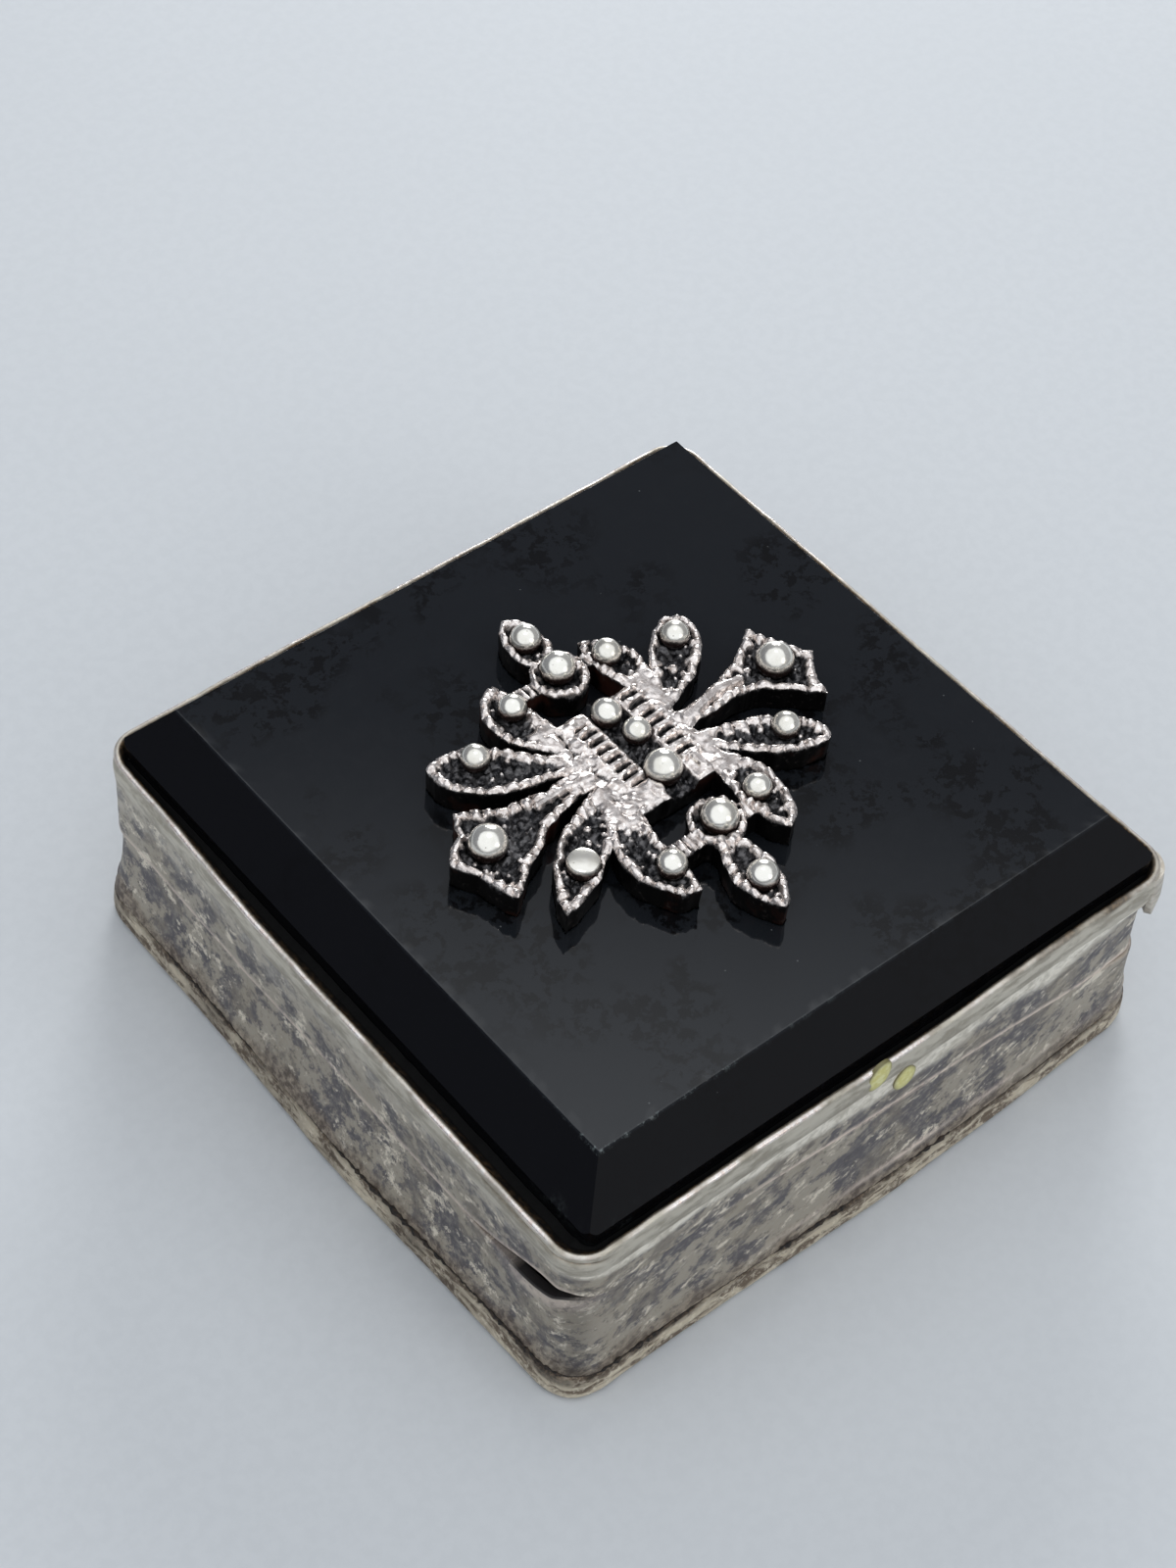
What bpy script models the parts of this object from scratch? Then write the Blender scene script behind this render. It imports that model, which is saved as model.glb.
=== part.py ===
"""A small square silver pill box: a hinged lid set with a bevelled onyx and a cast silver spray.

Metres, +Z up. The origin is the centre of the flat underside of the base plate, the face that
the box stands on. The front is the -Y side; the hinge is on the back, the +Y side.
"""

import bpy
import bmesh
from math import cos, sin, tan, pi, radians, sqrt
from mathutils import Vector

MM = 0.001

# --- Driving dimensions -----------------------------------------------------------------------
# Walls, seen from above they are rounded squares about the Z axis.
BODY_SIDE = 31.14 * MM          # lid wall, outside
CORNER_RADIUS = 1.50 * MM       # lid wall, outside
WALL_THICKNESS = 0.50 * MM
BASE_HEIGHT = 5.60 * MM         # underside to the seam
LID_WALL_HEIGHT = 3.20 * MM
SEAM_GAP = 0.10 * MM            # between the closed lid and the base
SEAT_GAP = 0.05 * MM            # between pieces that are soldered or set against each other

# Foot moulding and base plate.
FOOT_PROUD = 0.50 * MM          # how far the foot stands out past the lid wall
FOOT_HEIGHT = 1.60 * MM
FOOT_WIDTH = 0.95 * MM
FOOT_ROUNDING = 0.25 * MM
PLATE_THICKNESS = 0.60 * MM
BASE_FLARE = 0.45 * MM          # how far the base wall sweeps out down to the foot
FLARE_POWER = 2.2

# Bearer: the inner strip that stands up out of the base and guides the lid.
BEARER_CLEARANCE = 0.12 * MM    # to the inside of the lid wall
BEARER_THICKNESS = 0.40 * MM
BEARER_RISE = 1.20 * MM         # above the seam
BEARER_HEIGHT = 3.40 * MM
BEARER_BACK_SPACE = 1.30 * MM   # free space between its ends and the back wall

# Lid plate, bezel and stone.
LID_PLATE_THICKNESS = 0.50 * MM
BEZEL_PROUD = 0.03 * MM         # past the lid wall
BEZEL_THICKNESS = 0.33 * MM
BEZEL_HEIGHT = 1.30 * MM
STONE_FIT = 0.27 * MM           # round the stone, inside the bezel
STONE_GIRDLE_RISE = 0.40 * MM   # straight edge of the stone above the bezel's rim
STONE_BEVEL_WIDTH = 1.70 * MM
STONE_BEVEL_HEIGHT = 2.27 * MM
STONE_EDGE_RADIUS = 0.05 * MM   # of the sharp edges between two bevels

# Cast spray on the stone, and its beads.
SPRAY_THICKNESS = 1.25 * MM
SPRAY_CENTRE = (-0.10 * MM, -0.10 * MM)
BEAD_LIFT = 0.10 * MM           # bead centres above the spray's top face

# Hinge.
KNUCKLE_RADIUS = 0.75 * MM
KNUCKLE_LENGTH = 2.40 * MM
KNUCKLE_COUNT = 5               # odd ones belong to the base
KNUCKLE_GAP = 0.06 * MM
HINGE_INSET = 0.25 * MM         # the axis, in from the lid wall's outer face
PIN_RADIUS = 0.30 * MM
PIN_CLEARANCE = 0.04 * MM
PIN_END = 0.20 * MM             # pin standing past the outer knuckles
NOTCH_END_SPACE = 0.35 * MM     # free space in the walls' notch past the outer knuckles
OPEN_ANGLE = radians(110)
STOP_MARGIN = radians(3)        # left between the two stop faces at the open angle

# --- Dimensions that follow -------------------------------------------------------------------
BODY_HALF = BODY_SIDE / 2
LID_INNER_HALF = BODY_HALF - WALL_THICKNESS
BEARER_HALF = LID_INNER_HALF - BEARER_CLEARANCE
BASE_HALF = BEARER_HALF + SEAT_GAP + WALL_THICKNESS
FOOT_HALF = BODY_HALF + FOOT_PROUD
FOOT_INNER_HALF = FOOT_HALF - FOOT_WIDTH
PLATE_HALF = FOOT_INNER_HALF - SEAT_GAP
BASE_WALL_BOTTOM = FOOT_HEIGHT + SEAT_GAP
LID_BOTTOM = BASE_HEIGHT + SEAM_GAP
LID_WALL_TOP = LID_BOTTOM + LID_WALL_HEIGHT
LID_PLATE_TOP = LID_WALL_TOP
LID_PLATE_BOTTOM = LID_PLATE_TOP - LID_PLATE_THICKNESS
BEZEL_BOTTOM = LID_WALL_TOP + SEAT_GAP
BEZEL_HALF = BODY_HALF + BEZEL_PROUD
BEZEL_INNER_HALF = BEZEL_HALF - BEZEL_THICKNESS
RIM_HEIGHT = BEZEL_BOTTOM + BEZEL_HEIGHT
STONE_HALF = BEZEL_INNER_HALF - STONE_FIT
STONE_BOTTOM = LID_PLATE_TOP + SEAT_GAP
STONE_GIRDLE_TOP = RIM_HEIGHT + STONE_GIRDLE_RISE
STONE_TOP = STONE_GIRDLE_TOP + STONE_BEVEL_HEIGHT
SPRAY_BOTTOM = STONE_TOP + SEAT_GAP
SPRAY_TOP = SPRAY_BOTTOM + SPRAY_THICKNESS
HINGE_Y = BODY_HALF - HINGE_INSET
HINGE_Z = BASE_HEIGHT + SEAM_GAP / 2
HINGE_LENGTH = KNUCKLE_COUNT * KNUCKLE_LENGTH + (KNUCKLE_COUNT - 1) * KNUCKLE_GAP

CORNER_STEPS = 5
ROUND_STEPS = 16
BEAD_STEPS = 12
BEAD_BANDS = 8

# --- The spray's design, seen from above, in millimetres about its own centre ---------------------
# Petals and leaves: root, the point that bends the middle line, tip, half width at the root,
# half width at the belly, where the belly is along the length, and how blunt the tip is
# (0.5 round, 1 pointed).
PETALS = (
    ((-0.35, 5.60), (-0.35, 7.00), (-0.45, 8.55), 0.62, 0.92, 0.45, 0.80),
    ((-2.00, 1.70), (-4.30, 3.60), (-2.95, 6.00), 0.62, 0.98, 0.62, 0.70),
    ((1.95, 1.50), (2.55, 3.60), (1.35, 5.80), 0.50, 0.88, 0.62, 0.70),
    ((-2.60, 0.95), (-5.20, 1.70), (-7.70, 4.10), 0.50, 1.18, 0.68, 0.50),
    ((1.80, 1.10), (3.60, 2.20), (5.75, 4.60), 0.45, 1.10, 0.68, 0.50),
    ((-2.40, -0.85), (-5.00, -2.20), (-7.90, -4.85), 0.50, 1.02, 0.55, 0.80),
    ((1.70, -1.00), (4.10, -2.20), (6.55, -4.05), 0.45, 0.98, 0.62, 0.60),
    ((-2.05, -1.60), (-4.75, -3.60), (-2.90, -7.05), 0.60, 1.02, 0.62, 0.75),
    ((1.75, -1.60), (2.55, -3.80), (1.95, -6.75), 0.50, 0.98, 0.60, 0.75),
    ((-0.55, -5.60), (-0.70, -7.30), (-0.90, -9.60), 0.58, 1.00, 0.50, 0.80),
)
PETAL_STEPS = 9

# The two flared ends, with three points each.
LEFT_FLARE = (
    (-2.60, 0.55), (-4.60, 0.42), (-6.60, 0.72), (-8.30, 1.75), (-8.80, 0.65), (-10.00, -0.30),
    (-9.35, -1.30), (-8.90, -3.05), (-7.40, -2.05), (-5.60, -0.95), (-3.80, -0.50), (-2.60, -0.55),
)
RIGHT_FLARE = (
    (1.90, -0.55), (3.60, -0.35), (5.40, -0.35), (6.60, -1.20), (7.90, -2.40), (8.20, -1.10),
    (8.95, -0.25), (8.20, 0.85), (7.45, 2.35), (6.20, 1.45), (4.40, 0.75), (1.90, 0.60),
)
# Round flowers: centre and radius.
FLOWERS = (((-0.33, 4.85), 1.22), ((-0.20, -4.70), 1.20))
# Middle plate, low and high corner, and the bridges between the flowers and their side petals.
MIDDLE = ((-3.05, -2.72), (2.20, 2.75))
BRIDGES = (((-2.60, 4.55), (1.90, 5.25)), ((-2.70, -5.35), (1.90, -4.55)))

# Beads: name, place and radius.
BEADS = (
    ("bead_top_leaf", -0.30, 7.12, 0.66),
    ("bead_top_flower", -0.25, 5.10, 0.74),
    ("bead_top_left_petal", -3.08, 4.52, 0.60),
    ("bead_top_right_petal", 1.90, 4.58, 0.62),
    ("bead_upper_left_petal", -5.92, 3.32, 0.60),
    ("bead_upper_right_petal", 4.80, 3.70, 0.62),
    ("bead_left_flare", -8.20, -0.38, 0.80),
    ("bead_right_flare", 7.20, 0.20, 0.80),
    ("bead_lower_left_petal", -5.92, -3.38, 0.68),
    ("bead_lower_right_petal", 5.18, -2.72, 0.60),
    ("bead_bottom_left_petal", -3.16, -5.42, 0.63),
    ("bead_bottom_right_petal", 2.08, -4.48, 0.60),
    ("bead_bottom_flower", -0.12, -4.74, 0.78),
    ("bead_bottom_leaf", -0.70, -7.92, 0.66),
    ("bead_middle_top", -0.22, 2.06, 0.65),
    ("bead_middle", 0.16, 0.62, 0.60),
    ("bead_middle_bottom", -0.25, -1.48, 0.80),
)


# --- Small tools ----------------------------------------------------------------------------------
def clear_scene():
    for old in list(bpy.data.objects):
        bpy.data.objects.remove(old)


def finish(name, colour, roughness, metallic):
    material = bpy.data.materials.new(name)
    material.use_nodes = True
    shader = material.node_tree.nodes["Principled BSDF"]
    shader.inputs["Base Color"].default_value = (*colour, 1.0)
    shader.inputs["Roughness"].default_value = roughness
    shader.inputs["Metallic"].default_value = metallic
    return material


def add_object(name, mesh_data, material=None, centre=(0.0, 0.0, 0.0), parent=None):
    """Turn a bmesh in place into an object of its own, with its faces pointing out."""
    bmesh.ops.recalc_face_normals(mesh_data, faces=mesh_data.faces)
    mesh = bpy.data.meshes.new(name)
    mesh_data.to_mesh(mesh)
    mesh_data.free()
    obj = bpy.data.objects.new(name, mesh)
    bpy.context.collection.objects.link(obj)
    if material:
        mesh.materials.append(material)
    obj.location = centre
    if parent:
        obj.parent = parent
        obj.matrix_parent_inverse = parent.matrix_world.inverted()
    return obj


def as_guide(obj):
    """Keep an object as a cutter or building block only."""
    obj.hide_render = True
    obj.display_type = 'WIRE'
    return obj


def shade_round(obj, angle=radians(35)):
    obj.data.shade_smooth()
    obj.data.set_sharp_from_angle(angle=angle)


def arc(centre_x, centre_y, radius, start, turn, steps):
    return [(centre_x + radius * cos(start + turn * i / steps),
             centre_y + radius * sin(start + turn * i / steps)) for i in range(steps + 1)]


def rounded_square(half, radius):
    """Points round a square with rounded corners, anticlockwise from above."""
    inner = half - radius
    corners = ((inner, inner, 0.0), (-inner, inner, pi / 2), (-inner, -inner, pi), (inner, -inner, 1.5 * pi))
    points = []
    for x, y, start in corners:
        points += arc(x, y, radius, start, pi / 2, CORNER_STEPS)
    return points


def skin(rings, closed_round):
    """Join rings of equal length into one skin: capped at both ends, or round onto the first."""
    shape = bmesh.new()
    loops = [[shape.verts.new(point) for point in ring] for ring in rings]
    pairs = list(zip(loops, loops[1:]))
    if closed_round:
        pairs.append((loops[-1], loops[0]))
    else:
        shape.faces.new(loops[0])
        shape.faces.new(loops[-1])
    for low, high in pairs:
        for i in range(len(low)):
            j = (i + 1) % len(low)
            shape.faces.new((low[i], low[j], high[j], high[i]))
    return shape


def lifted(points, z):
    return [Vector((x, y, z)) for x, y in points]


def square_solid(sections):
    """A solid block from (half width, corner radius, height) sections, bottom to top."""
    return skin([lifted(rounded_square(half, radius), z) for half, radius, z in sections], False)


def square_frame(outer, inner):
    """An open frame from outer sections, bottom to top, and inner sections, bottom to top."""
    sections = list(outer) + list(reversed(inner))
    return skin([lifted(rounded_square(half, radius), z) for half, radius, z in sections], True)


def prism(outline, bottom, top):
    return skin([lifted(outline, bottom), lifted(outline, top)], False)


def box_shape(low, high):
    outline = [(low[0], low[1]), (high[0], low[1]), (high[0], high[1]), (low[0], high[1])]
    return prism(outline, low[2], high[2])


def combine(obj, other, operation):
    modifier = obj.modifiers.new(operation.lower() + "_" + other.name, 'BOOLEAN')
    modifier.operation = operation
    modifier.solver = 'EXACT'
    modifier.object = other


def combine_collection(obj, collection, operation):
    modifier = obj.modifiers.new(operation.lower() + "_" + collection.name, 'BOOLEAN')
    modifier.operation = operation
    modifier.solver = 'EXACT'
    modifier.operand_type = 'COLLECTION'
    modifier.collection = collection


def guide_collection(name, guides):
    collection = bpy.data.collections.new(name)
    bpy.context.scene.collection.children.link(collection)
    for guide in guides:
        bpy.context.collection.objects.unlink(guide)
        collection.objects.link(guide)
    return collection


# --- Base -----------------------------------------------------------------------------------------
def outer_radius(half):
    """Corner radius that keeps every outer face parallel to the lid wall's."""
    return CORNER_RADIUS + half - BODY_HALF


def base_flare(z):
    """How far the base wall has swept out at height z."""
    depth = max(BASE_HEIGHT - z, 0.0)
    return BASE_FLARE * (depth / (BASE_HEIGHT - BASE_WALL_BOTTOM)) ** FLARE_POWER


def make_base_plate(material):
    plate = square_solid([(PLATE_HALF, outer_radius(PLATE_HALF), 0.0),
                          (PLATE_HALF, outer_radius(PLATE_HALF), PLATE_THICKNESS)])
    return add_object("base_plate", plate, material)


def make_foot_rim(material):
    steps = 8
    outer = []
    for i in range(steps + 1):
        angle = pi * i / steps
        half = FOOT_HALF - FOOT_ROUNDING * (1 - sin(angle))
        z = FOOT_HEIGHT / 2 * (1 - cos(angle))
        outer.append((half, outer_radius(half), z))
    inner = [(FOOT_INNER_HALF, outer_radius(FOOT_INNER_HALF), z) for z in (0.0, FOOT_HEIGHT)]
    rim = add_object("foot_rim", square_frame(outer, inner), material)
    shade_round(rim)
    return rim


def make_base_wall(material, cutters):
    steps = 6
    outer = []
    inner = []
    for i in range(steps + 1):
        z = BASE_WALL_BOTTOM + (BASE_HEIGHT - BASE_WALL_BOTTOM) * i / steps
        half = BASE_HALF + base_flare(z)
        outer.append((half, outer_radius(half), z))
        inner.append((half - WALL_THICKNESS, outer_radius(half - WALL_THICKNESS), z))
    wall = add_object("base_wall", square_frame(outer, inner), material)
    for cutter in cutters:
        combine(wall, cutter, 'DIFFERENCE')
    shade_round(wall)
    return wall


def make_bearer(material):
    """A strip round the front and both sides, open at the back where the hinge is."""
    end = LID_INNER_HALF - BEARER_BACK_SPACE
    outer_corner = outer_radius(BEARER_HALF)
    inner_half = BEARER_HALF - BEARER_THICKNESS
    inner_corner = outer_corner - BEARER_THICKNESS
    middle = BEARER_HALF - outer_corner
    left = -middle
    outline = [(-BEARER_HALF, end)] + arc(left, left, outer_corner, pi, pi / 2, CORNER_STEPS)
    outline += arc(middle, left, outer_corner, 1.5 * pi, pi / 2, CORNER_STEPS) + [(BEARER_HALF, end)]
    outline += [(inner_half, end)] + arc(middle, left, inner_corner, 0.0, -pi / 2, CORNER_STEPS)
    outline += arc(left, left, inner_corner, 1.5 * pi, -pi / 2, CORNER_STEPS) + [(-inner_half, end)]
    top = BASE_HEIGHT + BEARER_RISE
    bearer = add_object("bearer", prism(outline, top - BEARER_HEIGHT, top), material)
    shade_round(bearer)
    return bearer


# --- Lid ------------------------------------------------------------------------------------------
def make_lid_wall(material, cutters, axis):
    outer = [(BODY_HALF, CORNER_RADIUS, z) for z in (LID_BOTTOM, LID_WALL_TOP)]
    inner = [(LID_INNER_HALF, outer_radius(LID_INNER_HALF), z) for z in (LID_BOTTOM, LID_WALL_TOP)]
    wall = add_object("lid_wall", square_frame(outer, inner), material, parent=axis)
    for cutter in cutters:
        combine(wall, cutter, 'DIFFERENCE')
    shade_round(wall)
    return wall


def make_lid_plate(material, axis):
    half = LID_INNER_HALF - SEAT_GAP
    plate = square_solid([(half, outer_radius(half), LID_PLATE_BOTTOM), (half, outer_radius(half), LID_PLATE_TOP)])
    return add_object("lid_plate", plate, material, parent=axis)


def make_bezel(material, axis):
    outer = [(BEZEL_HALF, outer_radius(BEZEL_HALF), z) for z in (BEZEL_BOTTOM, RIM_HEIGHT)]
    inner = [(BEZEL_INNER_HALF, outer_radius(BEZEL_INNER_HALF), z) for z in (BEZEL_BOTTOM, RIM_HEIGHT)]
    bezel = add_object("bezel", square_frame(outer, inner), material, parent=axis)
    shade_round(bezel)
    return bezel


def make_stone(material, axis):
    """Four flat bevels that meet in sharp edges, with the corners rounded to clear the bezel's."""
    table_half = STONE_HALF - STONE_BEVEL_WIDTH
    stone = square_solid([(STONE_HALF, STONE_EDGE_RADIUS, STONE_BOTTOM),
                          (STONE_HALF, STONE_EDGE_RADIUS, STONE_GIRDLE_TOP),
                          (table_half, STONE_EDGE_RADIUS, STONE_TOP)])
    ends = (STONE_BOTTOM - STONE_BEVEL_HEIGHT, STONE_TOP + STONE_BEVEL_HEIGHT)
    past_sides = STONE_HALF + STONE_BEVEL_WIDTH
    clear_of_sides = STONE_HALF + SEAT_GAP
    rounding = square_frame([(past_sides, STONE_EDGE_RADIUS, z) for z in ends],
                            [(clear_of_sides, outer_radius(clear_of_sides), z) for z in ends])
    onyx = add_object("onyx", stone, material, parent=axis)
    combine(onyx, as_guide(add_object("stone_corner_cutter", rounding)), 'DIFFERENCE')
    return onyx


# --- Spray ----------------------------------------------------------------------------------------
def petal_outline(root, bend, tip, root_half, belly_half, belly_at, bluntness):
    """A leaf shape about a bent middle line, anticlockwise."""
    root = Vector(root)
    bend = Vector(bend)
    tip = Vector(tip)
    left = []
    right = []
    for i in range(PETAL_STEPS):
        t = i / PETAL_STEPS
        middle = root * (1 - t) ** 2 + bend * 2 * t * (1 - t) + tip * t ** 2
        along = ((bend - root) * (1 - t) + (tip - bend) * t).normalized()
        across = Vector((-along.y, along.x))
        if t < belly_at:
            swell = (1 - cos(pi * t / belly_at)) / 2
            half = root_half + (belly_half - root_half) * swell
        else:
            fall = (t - belly_at) / (1 - belly_at)
            half = belly_half * (1 - fall ** 2) ** bluntness
        left.append(middle + across * half)
        right.append(middle - across * half)
    return right + [tip] + left[::-1]


def spray_point(point):
    return (SPRAY_CENTRE[0] + point[0] * MM, SPRAY_CENTRE[1] + point[1] * MM)


def spray_block(name, outline):
    """One building block of the spray, its full thickness."""
    placed = [spray_point(point) for point in outline]
    return as_guide(add_object(name, prism(placed, SPRAY_BOTTOM, SPRAY_TOP)))


def rectangle(low, high):
    return [low, (high[0], low[1]), high, (low[0], high[1])]


def bead_shape(radius):
    shape = bmesh.new()
    bmesh.ops.create_uvsphere(shape, u_segments=BEAD_STEPS, v_segments=BEAD_BANDS, radius=radius)
    return shape


def bead_place(x, y):
    placed = spray_point((x, y))
    return (placed[0], placed[1], SPRAY_TOP + BEAD_LIFT)


def make_spray(material, axis):
    """The casting: petals, flared ends and flowers joined to the middle plate, with bead seats."""
    blocks = [spray_block(f"petal_{i}", petal_outline(*petal)) for i, petal in enumerate(PETALS)]
    blocks.append(spray_block("flare_left", LEFT_FLARE))
    blocks.append(spray_block("flare_right", RIGHT_FLARE))
    blocks += [spray_block(f"flower_{i}", arc(*centre, radius, 0.0, 2 * pi * (1 - 1 / ROUND_STEPS), ROUND_STEPS - 1))
               for i, (centre, radius) in enumerate(FLOWERS)]
    blocks += [spray_block(f"bridge_{i}", rectangle(*corners)) for i, corners in enumerate(BRIDGES)]
    seats = [as_guide(add_object("seat_" + name, bead_shape(radius * MM + SEAT_GAP), centre=bead_place(x, y)))
             for name, x, y, radius in BEADS]
    middle = prism([spray_point(point) for point in rectangle(*MIDDLE)], SPRAY_BOTTOM, SPRAY_TOP)
    spray = add_object("cast_spray", middle, material, parent=axis)
    combine_collection(spray, guide_collection("spray_blocks", blocks), 'UNION')
    combine_collection(spray, guide_collection("bead_seats", seats), 'DIFFERENCE')
    return spray


def make_beads(material, axis):
    for name, x, y, radius in BEADS:
        bead = add_object(name, bead_shape(radius * MM), material, centre=bead_place(x, y), parent=axis)
        bead.data.shade_smooth()


# --- Hinge ----------------------------------------------------------------------------------------
def circle_across(x, radius):
    """Points round the hinge axis in a plane across it."""
    return [Vector((x, HINGE_Y + radius * cos(2 * pi * i / ROUND_STEPS),
                    HINGE_Z + radius * sin(2 * pi * i / ROUND_STEPS))) for i in range(ROUND_STEPS)]


def knuckle_start(number):
    return -HINGE_LENGTH / 2 + number * (KNUCKLE_LENGTH + KNUCKLE_GAP)


def make_knuckles(material, axis):
    """Short tubes along the pin, in turn soldered to the base and to the lid."""
    bore = PIN_RADIUS + PIN_CLEARANCE
    for number in range(KNUCKLE_COUNT):
        start = knuckle_start(number)
        end = start + KNUCKLE_LENGTH
        rings = [circle_across(start, KNUCKLE_RADIUS), circle_across(end, KNUCKLE_RADIUS),
                 circle_across(end, bore), circle_across(start, bore)]
        on_lid = number % 2 == 1
        name = f"lid_knuckle_{number // 2 + 1}" if on_lid else f"base_knuckle_{number // 2 + 1}"
        knuckle = add_object(name, skin(rings, True), material, parent=axis if on_lid else None)
        shade_round(knuckle)


def make_pin(material):
    reach = HINGE_LENGTH / 2 + PIN_END
    dome = PIN_RADIUS / 3
    rings = [circle_across(-reach, PIN_RADIUS - dome), circle_across(-reach + dome, PIN_RADIUS),
             circle_across(reach - dome, PIN_RADIUS), circle_across(reach, PIN_RADIUS - dome)]
    pin = add_object("hinge_pin", skin(rings, False), material)
    shade_round(pin)
    return pin


def notch_cutter():
    """The opening in both back walls that the knuckles lie in."""
    reach = HINGE_LENGTH / 2 + NOTCH_END_SPACE
    room = KNUCKLE_RADIUS + SEAT_GAP
    deep = 2 * WALL_THICKNESS + HINGE_INSET
    shape = box_shape((-reach, HINGE_Y - deep, HINGE_Z - room), (reach, HINGE_Y + deep, HINGE_Z + room))
    return as_guide(add_object("notch_cutter", shape))


def stop_groove_cutter():
    """The V filed along the back seam: its two faces meet when the lid is open, and stop it."""
    face_angle = (OPEN_ANGLE + STOP_MARGIN) / 2
    reach = BODY_HALF + FOOT_PROUD
    depth = 2 * HINGE_INSET
    rise = depth * tan(face_angle)
    profile = ((0.0, 0.0), (depth, -rise), (depth, rise))
    rings = [[Vector((x, HINGE_Y + y, HINGE_Z + z)) for y, z in profile] for x in (-reach, reach)]
    return as_guide(add_object("stop_groove_cutter", skin(rings, False)))


# --- Assembly -------------------------------------------------------------------------------------
def make_lid_axis():
    axis = bpy.data.objects.new("lid_axis", None)
    axis.location = (0.0, HINGE_Y, HINGE_Z)
    bpy.context.collection.objects.link(axis)
    bpy.context.view_layer.update()
    return axis


def build():
    clear_scene()
    wall_silver = finish("wall_silver", (0.42, 0.41, 0.38), 0.45, 1.0)
    foot_silver = finish("foot_silver", (0.50, 0.46, 0.41), 0.45, 1.0)
    bezel_silver = finish("bezel_silver", (0.72, 0.69, 0.64), 0.28, 1.0)
    inside_silver = finish("inside_silver", (0.62, 0.60, 0.55), 0.35, 1.0)
    hinge_silver = finish("hinge_silver", (0.55, 0.53, 0.49), 0.35, 1.0)
    cast_silver = finish("cast_silver", (0.60, 0.57, 0.54), 0.35, 1.0)
    bead_silver = finish("bead_silver", (0.85, 0.85, 0.82), 0.15, 1.0)
    onyx = finish("black_onyx", (0.012, 0.012, 0.014), 0.08, 0.0)

    axis = make_lid_axis()
    cutters = (notch_cutter(), stop_groove_cutter())
    make_base_plate(inside_silver)
    make_foot_rim(foot_silver)
    make_base_wall(wall_silver, cutters)
    make_bearer(inside_silver)
    make_lid_wall(wall_silver, cutters, axis)
    make_lid_plate(inside_silver, axis)
    make_bezel(bezel_silver, axis)
    make_stone(onyx, axis)
    make_spray(cast_silver, axis)
    make_beads(bead_silver, axis)
    make_knuckles(hinge_silver, axis)
    make_pin(hinge_silver)


build()
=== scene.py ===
"""Looks of the small silver pill box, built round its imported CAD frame.

Lengths are in millimetres until a mesh is made, and places come from the CAD nodes' boxes.
The front is the -Y side and the hinge is on the +Y side, so the four corners of the box are
near (-X -Y), right (+X -Y), far (+X +Y) and left (-X +Y).
"""

from math import cos, pi, radians, sin, tan

import bmesh
import bpy
import numpy as np
from mathutils import Matrix, Vector


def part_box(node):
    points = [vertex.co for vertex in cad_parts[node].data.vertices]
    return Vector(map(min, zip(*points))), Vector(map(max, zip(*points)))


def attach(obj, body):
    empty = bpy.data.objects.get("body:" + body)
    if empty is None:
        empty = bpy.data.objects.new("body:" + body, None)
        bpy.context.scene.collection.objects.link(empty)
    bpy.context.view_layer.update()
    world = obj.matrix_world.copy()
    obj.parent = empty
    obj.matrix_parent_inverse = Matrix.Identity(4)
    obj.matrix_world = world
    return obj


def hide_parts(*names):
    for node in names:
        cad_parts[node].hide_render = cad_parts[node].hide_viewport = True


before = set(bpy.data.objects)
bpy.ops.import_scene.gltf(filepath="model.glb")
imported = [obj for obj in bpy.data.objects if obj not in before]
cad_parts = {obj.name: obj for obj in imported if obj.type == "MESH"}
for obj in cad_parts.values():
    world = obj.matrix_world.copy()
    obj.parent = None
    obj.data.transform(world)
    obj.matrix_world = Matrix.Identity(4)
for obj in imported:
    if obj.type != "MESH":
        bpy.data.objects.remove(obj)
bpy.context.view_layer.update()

MM = 0.001


def low(node):
    return Vector(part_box(node)[0]) / MM


def high(node):
    return Vector(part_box(node)[1]) / MM


# --- Sizes read from the frame --------------------------------------------------------------------
BODY_HALF = high("lid_wall").x
CORNER_RADIUS = 1.50
WALL = 0.50
SEAM_LOW = high("base_wall").z
SEAM_HIGH = low("lid_wall").z
LID_WALL_TOP = high("lid_wall").z
RIM_LOW = low("bezel").z
RIM = high("bezel").z
BEZEL_PROUD = high("bezel").x - BODY_HALF
BEZEL_THICKNESS = 0.33
STONE_HALF = high("onyx").x
STONE_LOW = low("onyx").z
STONE_TOP = high("onyx").z
GIRDLE_TOP = RIM + 0.40
TABLE_HALF = STONE_HALF - 1.70
FOOT_PROUD = high("foot_rim").x - BODY_HALF
FOOT_INNER = FOOT_PROUD - 0.95
FOOT_TOP = high("foot_rim").z
BASE_WALL_LOW = low("base_wall").z
BASE_FLARE = 0.45
BASE_OUT = high("base_wall").x - BODY_HALF - BASE_FLARE
FLARE_POWER = 2.2
HINGE_Y = (low("hinge_pin").y + high("hinge_pin").y) / 2
HINGE_Z = (low("hinge_pin").z + high("hinge_pin").z) / 2
KNUCKLE_RADIUS = (high("base_knuckle_2").y - low("base_knuckle_2").y) / 2
NOTCH_HALF = high("base_knuckle_3").x + 0.35
NOTCH_ROOM = KNUCKLE_RADIUS + 0.05
NOTCH_DEPTH = 1.4
NOTCH_HEIGHT = 3.0
STOP_SLOPE = tan(radians(56.5))
SPRAY_LOW = low("cast_spray").z
SPRAY_TOP = high("cast_spray").z
SPRAY_CENTRE = (-0.10, -0.10)
BEAD_LIFT = 0.10
BEAD_LEVEL = SPRAY_TOP + BEAD_LIFT

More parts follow.
